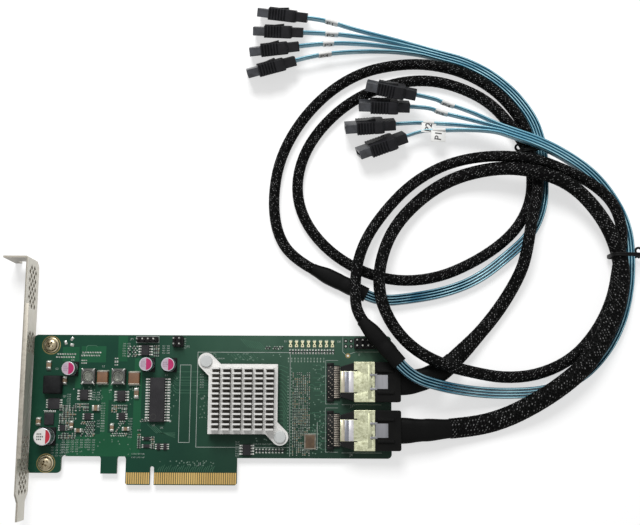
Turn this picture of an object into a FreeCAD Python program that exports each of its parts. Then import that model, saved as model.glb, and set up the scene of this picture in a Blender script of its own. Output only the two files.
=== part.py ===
import FreeCAD, Part
import math
import os

import Sketcher
from FreeCAD import Placement, Rotation, Vector

# A storage adapter card that lies flat with its component side up, and its two breakout cables.
# X runs along the card from the bracket to the ports, Y from the edge contacts to the board's top edge.
# The table is z = 0, and the origin is the middle of the card's own box, without the cables.
# Places on the board are given from its left edge (across) and from the contacts' lower end (up).

DIMENSIONS = {
    # circuit board
    "board_left": -77.8,
    "finger_bottom": -44.2,
    "board_under": 2.2,
    "board_thick": 1.57,
    "board_length": 167.65,
    "board_height": 68.9,
    "board_corner": 2.0,
    "notch_corner": 0.9,
    "leg_right": 15.0,
    "leg_bottom": 5.2,
    "recess_top": 13.4,
    "hook_left": 33.4,
    "hook_right": 40.9,
    "hook_bottom": 5.0,
    "finger_left": 45.0,
    "finger_right": 96.3,
    "finger_bevel": 0.8,
    "key_centre": 57.15,
    "key_width": 1.9,
    "key_depth": 8.4,
    "lower_edge": 12.3,
    "screw_hole_radius": 1.7,
    "tool_hole_radius": 0.5,
    # edge contacts
    "contact_pitch": 1.0,
    "contact_width": 0.7,
    "contact_length": 5.2,
    "contact_inset": 0.4,
    "contact_thick": 0.05,
    # bracket
    "sheet_thick": 0.86,
    "bracket_gap": 0.6,
    "bracket_top": 60.0,
    "bracket_length": 120.0,
    "bracket_width": 18.42,
    "bracket_chamfer": 3.0,
    "bend_radius": 0.7,
    "tab_reach": 10.59,
    "tab_slot_width": 4.4,
    "tab_slot_depth": 6.2,
    "tab_slot_from_face": 5.2,
    "tail_width": 10.19,
    "tail_length": 8.3,
    "tail_taper": 4.4,
    "lip_depth": 1.5,
    "lip_length": 70.0,
    "lip_bottom": -32.0,
    "lug_width": 9.0,
    "lug_reach": 13.2,
    "lug_hole_radius": 1.35,
    "vent_side": 2.05,
    "vent_row_pitch": 2.0,
    "vent_hole_pitch": 4.4,
    # bracket screws
    "screw_across": 8.1,
    "screw_up_high": 64.0,
    "screw_up_low": 9.6,
    "screw_head_radius": 3.0,
    "screw_head_height": 2.0,
    "screw_shank_radius": 1.3,
    "screw_tip_height": 0.4,
    # controller chip, thermal pad and heat sink
    "sink_across": 98.9,
    "sink_up": 39.3,
    "chip_side": 27.0,
    "chip_base_thick": 1.4,
    "chip_cap_side": 22.0,
    "chip_cap_thick": 1.1,
    "pad_side": 24.0,
    "pad_thick": 0.4,
    "sink_side": 32.0,
    "sink_base_thick": 2.0,
    "sink_fin_height": 6.0,
    "sink_fin_count": 13,
    "sink_fin_pitch": 2.3,
    "sink_fin_thick": 0.8,
    "sink_column_count": 6,
    "sink_column_pitch": 5.0,
    "sink_column_length": 3.65,
    "ear_offset": 17.2,
    "ear_radius": 3.9,
    "ear_hole_radius": 1.6,
    "push_cap_radius": 2.8,
    "push_cap_thick": 1.1,
    "push_shank_radius": 1.45,
    "push_tip_height": 0.5,
    # ports
    "port_upper": 47.2,
    "port_lower": 25.2,
    "port_back": 144.0,
    "port_front": 159.6,
    "housing_width": 17.6,
    "housing_height": 7.9,
    "housing_chamfer": 1.8,
    "cavity_width": 14.4,
    "cavity_floor": 1.8,
    "cavity_height": 4.6,
    "cavity_depth": 9.0,
    "cage_back": 150.0,
    "cage_thick": 0.3,
    "cage_width": 18.3,
    "cage_tongue_width": 9.7,
    "cage_tongue_drop": 1.6,
    "cage_window_width": 1.2,
    "cage_window_length": 1.0,
    "cage_window_offset": 3.2,
    "cage_relief_width": 0.5,
    "terminal_count": 18,
    "terminal_pitch": 0.8,
    "terminal_width": 0.36,
    "terminal_length": 5.6,
    "terminal_rise": 1.2,
    "terminal_thick": 0.2,
    "terminal_shoulder": 1.4,
    # port plugs and their latches
    "plug_gap": 0.1,
    "plug_length": 11.9,
    "plug_width": 18.3,
    "plug_floor": 0.25,
    "plug_height": 8.2,
    "plug_corner": 1.0,
    "plug_nose_length": 8.0,
    "plug_nose_width": 14.0,
    "plug_nose_floor": 2.0,
    "plug_nose_height": 4.2,
    "plug_rail_offset": 4.9,
    "plug_rail_width": 1.2,
    "plug_rail_height": 1.0,
    "plug_rail_length": 7.6,
    "plug_rail_inset": 1.0,
    "latch_width": 6.4,
    "latch_length": 5.8,
    "latch_thick": 0.4,
    "latch_arm_width": 0.9,
    "latch_arm_reach": 2.4,
    "latch_hook_drop": 0.5,
    # chips
    "memory_across": 58.85,
    "memory_up": 38.8,
    "memory_width": 7.0,
    "memory_length": 20.4,
    "memory_height": 2.3,
    "chip_stand": 0.1,
    "small_chip_width": 3.8,
    "small_chip_length": 4.9,
    "small_chip_height": 1.5,
    "package_edge": 0.25,
    "package_height": 1.0,
    # can capacitors
    "can_radius": 3.15,
    "can_height": 5.6,
    "big_can_radius": 4.0,
    "big_can_height": 7.4,
    "can_base_thick": 1.0,
    "can_base_margin": 0.15,
    "can_base_chamfer": 1.2,
    # coils and ceramic capacitors
    "choke_side": 8.4,
    "choke_height": 4.2,
    "choke_edge": 0.6,
    "coil_width": 6.1,
    "coil_length": 7.1,
    "coil_height": 3.6,
    "coil_well_radius": 2.6,
    "coil_well_depth": 1.4,
    "coil_core_radius": 2.2,
    "coil_core_height": 1.2,
    "ceramic_width": 5.0,
    "ceramic_length": 6.0,
    "ceramic_height": 2.5,
    "chip_capacitor_height": 1.4,
    # oscillator, lamps and resistors
    "oscillator_width": 5.2,
    "oscillator_length": 6.8,
    "oscillator_height": 1.1,
    "oscillator_lid_margin": 0.5,
    "oscillator_lid_height": 0.3,
    "lamp_count": 8,
    "lamp_pitch": 2.81,
    "lamp_width": 1.5,
    "lamp_length": 3.0,
    "lamp_height": 0.9,
    "resistor_width": 0.8,
    "resistor_length": 1.6,
    "resistor_height": 0.5,
    # pin headers
    "header_pitch": 2.54,
    "header_height": 2.5,
    "header_edge": 0.5,
    "header_pin_side": 0.64,
    "header_pin_length": 5.4,
    # cables
    "boot_width": 10.6,
    "boot_height": 5.2,
    "sleeve_width": 5.6,
    "sleeve_height": 5.2,
    "breakout_width": 7.0,
    "breakout_height": 5.4,
    "ribbon_thick": 1.45,
    "ribbon_height": 4.6,
    "ribbon_pitch": 1.55,
    "lead_run": 9.0,
    # drive plugs and their latches
    "drive_thick": 5.8,
    "drive_height": 14.0,
    "drive_length": 18.8,
    "drive_neck_length": 5.6,
    "drive_neck_thick": 4.6,
    "drive_neck_height": 8.6,
    "drive_shoulder": 1.2,
    "drive_groove_count": 6,
    "drive_groove_pitch": 1.4,
    "drive_groove_width": 0.8,
    "drive_groove_depth": 0.7,
    "drive_groove_inset": 0.6,
    "drive_nose_length": 5.5,
    "drive_nose_thick": 4.2,
    "drive_nose_height": 11.0,
    "drive_slot_thick": 1.6,
    "drive_slot_height": 9.2,
    "drive_slot_hook": 1.2,
    "drive_slot_depth": 5.0,
    "drive_latch_thick": 0.4,
    "drive_latch_width": 5.0,
    "drive_latch_length": 9.3,
    "drive_latch_ramp": 4.8,
    "drive_latch_rise": 0.6,
    # cable ties
    "tie_band": 2.4,
    "tie_thick": 0.42,
    "tie_gap": 0.02,
}

# Places of the board's pieces, (across, up), in millimetres.
SCREWS = ("screw_up_high", "screw_up_low")
PORTS = {"upper": "port_upper", "lower": "port_lower"}
SMALL_CHIPS = [(24.7, 40.9), (42.0, 40.5), (52.5, 61.7), (100.7, 16.1)]
SMALL_CANS = [(18.1, 52.9), (53.9, 55.0), (64.1, 54.9)]
BIG_CAN = (8.1, 21.8)
CHOKE = (10.2, 45.5)
COILS = [(26.7, 49.4), (40.7, 49.4)]
CERAMICS = [(33.1, 49.0), (47.8, 48.6)]
OSCILLATOR = (129.9, 20.0)
FIRST_LAMP = (120.5, 65.0)
TOOL_HOLE = (147.4, 59.6)

# Power packages: place, then width and length.
PACKAGES = [
    ((10.7, 36.8), (5.4, 5.0)),
    ((8.8, 29.8), (4.4, 5.4)),
    ((15.2, 25.7), (2.6, 2.9)),
    ((26.7, 31.0), (3.1, 3.2)),
    ((42.5, 31.1), (3.1, 3.4)),
    ((54.4, 21.0), (2.9, 1.5)),
    ((54.4, 17.6), (2.9, 1.5)),
    ((60.0, 17.4), (1.5, 2.9)),
    ((63.0, 17.4), (1.5, 2.9)),
]

# Chip capacitors: place, then width and length.
CHIP_CAPACITORS = [
    ((7.6, 54.6), (2.0, 3.7)),
    ((15.4, 47.5), (1.7, 3.2)),
    ((30.4, 34.9), (3.2, 2.5)),
    ((49.0, 41.8), (2.0, 4.5)),
    ((4.0, 28.6), (2.0, 3.2)),
    ((19.4, 27.2), (1.6, 3.2)),
    ((22.6, 24.6), (3.2, 1.6)),
    ((38.2, 26.0), (1.6, 3.2)),
    ((44.6, 25.4), (3.2, 1.6)),
]

# Rows of chip resistors: first place, step, how many.
RESISTOR_ROWS = [((120.3, 61.4), 1.35, 16), ((105.2, 15.6), 1.5, 9)]

# Headers: place of the first pin, columns and rows of pins.
WIDE_HEADER = ((151.5, 64.0), 6, 2)
SMALL_HEADERS = [((49.6, 66.7), 4, 1), ((66.6, 64.5), 2, 2)]

# Vent rows of the bracket: the lowest row's place along Y, and how many rows.
VENT_ZONES = [(37.5, 10), (16.8, 5), (-47.0, 13)]

# Cable routes, as the points that the cables bend round, in millimetres.
UPPER_BOOT = [(93.8, 3.0, 8.0), (108.0, 3.0, 8.0), (118.5, 13.0, 6.0)]
UPPER_SLEEVE = [
    (118.5, 13.0, 6.0), (129.0, 23.0, 4.0), (142.0, 38.5, 3.4), (151.5, 55.0, 6.6),
    (154.5, 67.0, 9.9), (154.0, 83.0, 9.6), (152.5, 98.0, 4.8), (149.5, 114.5, 4.0),
    (144.5, 130.0, 3.8), (135.0, 141.0, 3.2), (122.0, 148.0, 3.1), (107.0, 151.0, 3.1),
    (89.5, 148.5, 3.1), (71.0, 140.0, 3.1), (56.0, 126.0, 3.1), (47.0, 110.5, 3.1),
    (44.5, 93.5, 3.1), (49.5, 78.0, 3.1), (61.0, 64.5, 3.1), (76.5, 55.0, 3.1),
    (93.5, 50.6, 3.1), (112.0, 52.4, 3.1), (128.5, 59.4, 3.1), (143.0, 68.5, 3.1),
    (154.5, 79.5, 3.1), (161.0, 93.5, 3.2), (160.0, 109.0, 4.0), (157.0, 123.0, 4.0),
    (150.0, 136.5, 3.3), (139.0, 148.0, 3.1), (125.0, 155.5, 3.1), (109.0, 159.0, 3.1),
    (93.0, 158.5, 3.1), (76.0, 154.5, 3.1), (60.0, 144.5, 3.1), (46.0, 129.0, 3.1),
    (36.5, 110.5, 3.1), (33.5, 91.0, 3.1), (35.5, 74.0, 3.1), (43.0, 62.0, 3.1),
    (53.0, 56.5, 3.1),
]
UPPER_BREAKOUT = [(53.0, 56.5, 3.1), (78.0, 42.75, 3.1)]
UPPER_RIBBONS = [
    (78.0, 42.75, 3.1), (84.134, 39.376, 3.1), (100.0, 41.2, 2.5), (116.0, 44.6, 2.4),
    (131.5, 51.4, 2.4), (146.5, 61.2, 2.4), (160.0, 73.0, 2.4), (167.0, 90.0, 2.5),
    (167.5, 106.5, 3.2), (163.5, 123.5, 3.2), (155.5, 140.0, 2.5), (143.5, 153.0, 2.4),
    (128.0, 163.0, 2.4), (112.0, 167.0, 2.6),
]
LOWER_BOOT = [(93.8, -19.0, 8.0), (104.0, -19.0, 8.0), (116.5, -20.0, 5.8)]
LOWER_SLEEVE = [
    (116.5, -20.0, 5.8), (129.0, -21.0, 3.6), (143.0, -17.5, 3.2), (156.0, -11.0, 4.6),
    (168.0, -3.5, 9.0), (180.5, 7.5, 9.6), (190.0, 23.0, 5.8), (197.5, 40.5, 3.3),
    (201.0, 58.5, 5.2), (196.5, 74.0, 9.6), (188.5, 87.5, 10.1), (177.0, 97.0, 10.4),
    (163.5, 102.5, 10.9), (148.5, 105.0, 10.9), (134.0, 104.0, 8.6), (118.5, 100.0, 5.2),
    (104.0, 90.5, 4.6), (91.0, 76.0, 6.8), (84.4, 59.0, 10.0), (83.8, 43.5, 10.8),
    (89.3, 29.6, 12.0), (98.3, 18.8, 13.8), (111.0, 11.4, 14.0), (127.0, 7.5, 11.0),
    (143.0, 6.0, 5.0), (158.5, 8.5, 3.2), (173.5, 16.5, 3.1), (185.5, 29.0, 3.1),
    (192.0, 44.0, 3.3), (194.0, 60.5, 4.0), (193.5, 74.0, 3.3), (191.5, 87.5, 3.1),
    (183.5, 99.5, 4.6), (171.0, 107.0, 9.0), (157.0, 111.0, 10.6), (142.0, 112.0, 10.6),
    (126.5, 110.0, 8.0), (113.0, 106.0, 5.0), (99.5, 97.5, 4.4), (88.5, 86.0, 5.0),
    (78.8, 72.2, 7.8), (73.7, 58.8, 10.2), (72.6, 45.0, 12.0), (73.432, 33.609, 15.299),
    (79.0, 27.2, 15.7),
]
LOWER_BREAKOUT = [(79.0, 27.2, 15.7), (92.9, 11.2, 16.7)]
LOWER_RIBBONS = [
    (92.9, 11.2, 16.7), (98.14, 5.168, 17.077), (112.0, 1.0, 14.0), (127.5, -1.2, 7.7),
    (143.0, -1.9, 3.2), (161.0, -1.0, 2.4), (179.0, 4.0, 2.4), (193.0, 14.5, 2.4),
    (202.0, 29.5, 2.4), (208.0, 47.0, 2.7), (209.0, 65.5, 3.0), (206.0, 82.5, 2.5),
    (197.5, 98.0, 2.6), (186.5, 109.5, 4.6), (173.0, 116.5, 9.4), (160.0, 121.0, 10.8),
    (146.5, 124.0, 10.8),
]

# Share of the shorter of two runs that the arc between them takes.
ARC_SHARE = 0.45

# Degrees that each bundle is rolled where it leaves its boot, so that it lies level on the table.
RIBBON_ROLL = {"upper": 0.6, "lower": 8.5}

# Where the flat leads fan out to the drive plugs. Each ends at its plug's back face.
UPPER_FANS = [
    [(84.0, 173.3, 5.4), (66.5, 177.0, 6.9)],
    [(84.0, 170.8, 5.4), (66.0, 172.6, 6.9)],
    [(83.0, 168.0, 5.4), (63.5, 168.0, 6.9)],
    [(82.0, 165.2, 5.4), (61.0, 162.2, 6.9)],
]
LOWER_FANS = [
    [(127.5, 132.4, 11.6), (114.5, 136.4, 13.4)],
    [(125.5, 129.8, 9.8), (115.0, 132.4, 10.0)],
    [(122.0, 126.8, 9.2), (107.5, 127.6, 7.8)],
    [(123.0, 124.6, 9.2), (110.5, 124.0, 7.8)],
]

# Drive plugs: middle of the back face along X and Y, heading of the back in degrees, height of the foot.
UPPER_DRIVES = [
    (49.6, 180.8, -7.0, 0.0), (47.6, 173.2, -2.0, 0.0), (45.6, 166.2, 7.0, 0.0), (43.8, 158.8, 16.0, 0.0),
]
LOWER_DRIVES = [
    (102.0, 139.4, -11.5, 6.5), (99.0, 134.6, -1.5, 3.2), (92.3, 126.9, 4.5, 0.0), (97.2, 120.7, 20.5, 0.0),
]

# Degrees that the drive plugs of each cable lean on their leads, so that their latches face up.
DRIVE_LEAN = {"upper": 24.0, "lower": 28.0}

# Cable ties: middle along X and Y, heading of the bundle in degrees, inner width, inner top.
TIES = {"upper": (157.0, 117.5, 102.0, 24.8, 7.0), "lower": (201.6, 62.0, 90.0, 23.4, 10.4)}

doc = FreeCAD.newDocument("storage_card")
sheet = doc.addObject("Spreadsheet::Sheet", "dims")
for row, (alias, size) in enumerate(DIMENSIONS.items(), 1):
    sheet.set(f"A{row}", alias)
    sheet.set(f"B{row}", str(size))
    sheet.setAlias(f"B{row}", alias)
doc.recompute()

NODES = []


class Dim:
    """A size that is both a number and the sheet expression it comes from."""

    def __init__(self, value, text):
        self.value = float(value)
        self.text = text

    def joined(self, other, sign, value):
        return Dim(value, f"({self.text} {sign} {dim_of(other).text})")

    def __add__(self, other):
        return self.joined(other, "+", self.value + num(other))

    def __sub__(self, other):
        return self.joined(other, "-", self.value - num(other))

    def __mul__(self, other):
        return self.joined(other, "*", self.value * num(other))

    def __truediv__(self, other):
        return self.joined(other, "/", self.value / num(other))

    def __neg__(self):
        return Dim(-self.value, f"(0 - {self.text})")


class Sheet:
    """The sheet's cells by name, each as a Dim."""

    def __getattr__(self, alias):
        return Dim(sheet.get(alias), "dims." + alias)


d = Sheet()


def num(value):
    return value.value if isinstance(value, Dim) else float(value)


def dim_of(value):
    return value if isinstance(value, Dim) else Dim(value, f"({float(value)})")


def bind(thing, path, value):
    """Sets a size of an object by an expression on the sheet."""
    thing.setExpression(path, dim_of(value).text)


def place(thing, corner):
    for axis, value in zip("xyz", corner):
        bind(thing, "Placement.Base." + axis, value)


def across(value):
    return d.board_left + value


def up(value):
    return d.finger_bottom + value


def board_top():
    return d.board_under + d.board_thick


def node(thing, label):
    """Names a finished sub-part."""
    thing.Label = label
    NODES.append(thing)
    return thing


# Sketches and the features made from them

def body(name):
    return doc.addObject("PartDesign::Body", name)


def sketch(owner, plane="XY_Plane", offset=0.0):
    made = owner.newObject("Sketcher::SketchObject", owner.Name + "_sketch")
    origin = [feature for feature in owner.Origin.OriginFeatures if feature.Role == plane][0]
    made.AttachmentSupport = [(origin, "")]
    made.MapMode = "FlatFace"
    bind(made, "AttachmentOffset.Base.z", offset)
    return made


def pin_point(outline, geometry, point, x, y):
    """Ties one point of a sketch to the sheet."""
    for kind, value in (("DistanceX", x), ("DistanceY", y)):
        index = outline.addConstraint(Sketcher.Constraint(kind, -1, 1, geometry, point, num(value)))
        bind(outline, f"Constraints[{index}]", value)


def polygon(outline, corners):
    first = outline.GeometryCount
    count = len(corners)
    for here, after in zip(corners, corners[1:] + corners[:1]):
        ends = [Vector(num(x), num(y), 0) for x, y in (here, after)]
        outline.addGeometry(Part.LineSegment(*ends))
    for side in range(count):
        following = first + (side + 1) % count
        outline.addConstraint(Sketcher.Constraint("Coincident", first + side, 2, following, 1))
    for side, (x, y) in enumerate(corners):
        pin_point(outline, first + side, 1, x, y)
    return outline


def rectangle(outline, low, high):
    return polygon(outline, [low, (high[0], low[1]), high, (low[0], high[1])])


def square(outline, middle, side):
    """An upright square or, with two sides, a rectangle round its middle."""
    width, length = side if isinstance(side, tuple) else (side, side)
    width, length = dim_of(width), dim_of(length)
    low = (middle[0] - width / 2, middle[1] - length / 2)
    return rectangle(outline, low, (low[0] + width, low[1] + length))


def circle(outline, middle, radius):
    centre = Vector(num(middle[0]), num(middle[1]), 0)
    index = outline.addGeometry(Part.Circle(centre, Vector(0, 0, 1), num(radius)))
    pin_point(outline, index, 3, *middle)
    rule = outline.addConstraint(Sketcher.Constraint("Radius", index, num(radius)))
    bind(outline, f"Constraints[{rule}]", radius)
    return outline


def pad(owner, outline, length, reverse=False):
    made = owner.newObject("PartDesign::Pad", owner.Name + "_pad")
    made.Profile = outline
    made.Reversed = reverse
    bind(made, "Length", length)
    return made


def pocket(owner, outline, length, reverse=False):
    """Cuts an outline into a body, and stops the build if it cuts nothing."""
    doc.recompute()
    before = owner.Shape.Volume
    made = owner.newObject("PartDesign::Pocket", owner.Name + "_pocket")
    made.Profile = outline
    made.Reversed = reverse
    bind(made, "Length", length)
    doc.recompute()
    if owner.Shape.Volume > before - 1e-4:
        raise RuntimeError(f"a pocket of {owner.Name} cuts nothing")
    return made


def row_of(owner, feature, outline, axis, spacing, count):
    """Repeats a feature along an axis of its sketch."""
    made = owner.newObject("PartDesign::LinearPattern", owner.Name + "_row")
    made.Originals = [feature]
    made.Direction = (outline, [axis])
    bind(made, "Length", spacing * (num(count) - 1))
    bind(made, "Occurrences", count)
    owner.Tip = made
    doc.recompute()
    return made


def edges_where(shape, test):
    """Names of the straight edges whose middle and direction pass a test."""
    names = []
    for index, edge in enumerate(shape.Edges, 1):
        straight = edge.Curve.TypeId == "Part::GeomLine"
        if straight and test(edge.CenterOfMass, edge.tangentAt(edge.FirstParameter)):
            names.append(f"Edge{index}")
    return names


def dress(owner, kind, size, test):
    """A Fillet or Chamfer on the edges that a test picks."""
    doc.recompute()
    base = owner.Tip
    names = edges_where(base.Shape, test)
    if not names:
        raise RuntimeError(f"a {kind} of {owner.Name} finds no edge")
    made = owner.newObject("PartDesign::" + kind, owner.Name + "_" + kind.lower())
    made.Base = (base, names)
    bind(made, "Radius" if kind == "Fillet" else "Size", size)
    owner.Tip = made
    doc.recompute()
    return made


def upright(middle, tangent):
    return abs(tangent.z) > 0.99


def revolved(owner, corners):
    """Turns an outline, given as radius and height, about the body's Z axis."""
    outline = polygon(sketch(owner, "XZ_Plane"), corners)
    made = owner.newObject("PartDesign::Revolution", owner.Name + "_turned")
    made.Profile = outline
    made.ReferenceAxis = (outline, ["V_Axis"])
    made.Angle = 360.0
    doc.recompute()
    return made


# Plain solids and groups

def block(name, size, corner):
    made = doc.addObject("Part::Box", name)
    for key, value in zip(("Length", "Width", "Height"), size):
        bind(made, key, value)
    place(made, corner)
    return made


def group(label, things):
    """Several separate solids in one node."""
    made = doc.addObject("Part::Compound", label)
    made.Links = things
    return node(made, label)


def shaped(label, shape):
    made = doc.addObject("Part::Feature", label)
    made.Shape = shape
    return node(made, label)


def moulded(name, middle, floor, size, height, edge):
    """A moulded package: a block on the board with its upper edges taken off."""
    made = body(name)
    outline = square(sketch(made, offset=floor), middle, size)
    pad(made, outline, height)
    top = num(floor) + num(height)
    dress(made, "Chamfer", edge, lambda at, tangent: abs(at.z - top) < 1e-3)
    return made


def on_board(place_on_board):
    return across(place_on_board[0]), up(place_on_board[1])


# The card

def pin_places(header):
    """Places of a header's pins, column by column."""
    (first_across, first_up), columns, rows = header
    for column in range(columns):
        for line in range(rows):
            yield (across(d.header_pitch * column + first_across), up(d.header_pitch * line + first_up))


def ear_places():
    x, y = across(d.sink_across), up(d.sink_up)
    return [(x - d.ear_offset, y + d.ear_offset), (x + d.ear_offset, y - d.ear_offset)]


def screw_places():
    return [(across(d.screw_across), up(getattr(d, height))) for height in SCREWS]


def circuit_board():
    made = body("circuit_board")
    key = (d.key_centre - d.key_width / 2, d.key_centre + d.key_width / 2)
    corners = [
        (0.0, d.leg_bottom), (d.leg_right, d.leg_bottom), (d.leg_right, d.recess_top),
        (d.hook_left, d.recess_top), (d.hook_left, d.hook_bottom), (d.hook_right, d.hook_bottom),
        (d.hook_right, d.recess_top), (d.finger_left, d.recess_top), (d.finger_left, d.finger_bevel),
        (d.finger_left + d.finger_bevel, 0.0), (key[0], 0.0), (key[0], d.key_depth),
        (key[1], d.key_depth), (key[1], 0.0), (d.finger_right - d.finger_bevel, 0.0),
        (d.finger_right, d.finger_bevel), (d.finger_right, d.lower_edge),
        (d.board_length, d.lower_edge), (d.board_length, d.board_height), (0.0, d.board_height),
    ]
    outline = polygon(sketch(made, offset=d.board_under), [on_board(corner) for corner in corners])
    pad(made, outline, d.board_thick)
    round_corners = [corner for corner in corners if num(corner[0]) in (0.0, num(d.board_length))]
    round_corners += [corners[1], corners[2], corners[3], corners[6], corners[7]]
    for radius, chosen in ((d.board_corner, round_corners), (d.notch_corner, corners[11:13])):
        spots = [Vector(num(across(x)), num(up(y)), 0) for x, y in chosen]
        dress(made, "Fillet", radius, lambda at, tangent: upright(at, tangent) and any(
            math.hypot(at.x - spot.x, at.y - spot.y) < 1e-3 for spot in spots))
    holes = sketch(made, offset=board_top())
    for middle in screw_places():
        circle(holes, middle, d.screw_hole_radius)
    for middle in ear_places():
        circle(holes, middle, d.ear_hole_radius)
    circle(holes, on_board(TOOL_HOLE), d.tool_hole_radius)
    pocket(made, holes, d.board_thick)
    node(made, "circuit_board")


def edge_contacts():
    """Gold plates on both faces: eleven before the key notch and thirty-eight after it."""
    from_key = [step - 11.5 for step in range(11)] + [step + 1.5 for step in range(38)]
    size = (d.contact_width, d.contact_length, d.contact_thick)
    plates = []
    for floor in (board_top(), d.board_under - d.contact_thick):
        for step in from_key:
            left = across(d.key_centre + d.contact_pitch * step - d.contact_width / 2)
            plates.append(block("contact", size, (left, up(d.contact_inset), floor)))
    group("edge_contacts", plates)


def mounting_bracket():
    """One folded sheet: face, screw tab, tail, lip and two lugs, with staggered square vents."""
    made = body("bracket_sheet")
    inner = across(-d.bracket_gap)
    outer = inner - d.sheet_thick
    bottom = d.bracket_top - d.bracket_length
    neck = bottom + d.tail_length
    side = (d.bracket_width - d.tail_width) / 2
    face = polygon(sketch(made, "YZ_Plane", outer), [
        (d.bracket_top, d.bracket_chamfer), (d.bracket_top, d.bracket_width),
        (neck + d.tail_taper, d.bracket_width), (neck, d.bracket_width - side),
        (bottom, d.bracket_width - side), (bottom, side), (neck, side),
        (neck + d.tail_taper, 0.0), (d.bracket_top - d.bracket_chamfer, 0.0),
    ])
    pad(made, face, d.sheet_thick)
    slot_left = outer - d.tab_slot_from_face - d.tab_slot_width / 2
    tab = polygon(sketch(made, "XZ_Plane", -d.bracket_top), [
        (inner, d.bracket_chamfer), (inner, d.bracket_width), (outer - d.tab_reach, d.bracket_width),
        (outer - d.tab_reach, 0.0), (slot_left, 0.0), (slot_left, d.tab_slot_depth),
        (slot_left + d.tab_slot_width, d.tab_slot_depth), (slot_left + d.tab_slot_width, 0.0),
        (outer, 0.0), (outer, d.bracket_chamfer),
    ])
    pad(made, tab, d.sheet_thick)
    lip = sketch(made, "XY_Plane", d.bracket_width - d.sheet_thick)
    rectangle(lip, (outer, d.lip_bottom), (inner + d.lip_depth, d.lip_bottom + d.lip_length))
    pad(made, lip, d.sheet_thick)
    for middle in screw_places():
        lug = sketch(made, "XY_Plane", d.board_under - d.sheet_thick)
        half = d.lug_width / 2
        rectangle(lug, (outer, middle[1] - half), (inner + d.lug_reach, middle[1] + half))
        pad(made, lug, d.sheet_thick)
    holes = sketch(made, "XY_Plane", d.board_under)
    for middle in screw_places():
        circle(holes, middle, d.lug_hole_radius)
    pocket(made, holes, d.sheet_thick)
    top, left, high = num(d.bracket_top), num(outer), num(d.bracket_width)
    dress(made, "Fillet", d.bend_radius,
          lambda at, tangent: upright(at, tangent) and abs(at.y - top) < 1e-3 and at.x > left + 0.5)
    dress(made, "Fillet", d.bend_radius,
          lambda at, tangent: abs(tangent.y) > 0.99 and abs(at.z - high) < 1e-3 and abs(at.x - left) < 1e-3
          and abs(at.y - num(d.lip_bottom + d.lip_length / 2)) < num(d.lip_length))
    vents = []
    for lowest, rows in VENT_ZONES:
        for line in range(rows):
            count = 3 - line % 2
            for hole in range(count):
                height = d.bracket_width / 2 + d.vent_hole_pitch * (hole - (count - 1) / 2)
                vent = block("vent", (d.sheet_thick * 3, d.vent_side, d.vent_side), (0, 0, 0))
                vent.Placement.Rotation = Rotation(Vector(1, 0, 0), 45)
                drop = d.vent_side / math.sqrt(2)
                place(vent, (outer - d.sheet_thick, d.vent_row_pitch * line + lowest, height - drop))
                vents.append(vent)
    tools = doc.addObject("Part::Compound", "bracket_vents")
    tools.Links = vents
    cut = doc.addObject("Part::Cut", "mounting_bracket")
    cut.Base = made
    cut.Tool = tools
    node(cut, "mounting_bracket")


def headed_pin(name, middle, shank_radius, tip, seat, head_radius, head_height):
    """A round head on a plain shank, upright."""
    pin = body(name)
    revolved(pin, [
        (0.0, tip), (shank_radius, tip), (shank_radius, seat), (head_radius, seat),
        (head_radius, seat + head_height), (0.0, seat + head_height),
    ])
    place(pin, (middle[0], middle[1], 0.0))
    return pin


def bracket_screws():
    """Screws down through the board into the bracket's lugs."""
    group("bracket_screws", [
        headed_pin("screw", middle, d.screw_shank_radius, d.screw_tip_height, board_top(),
                   d.screw_head_radius, d.screw_head_height) for middle in screw_places()
    ])


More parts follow.
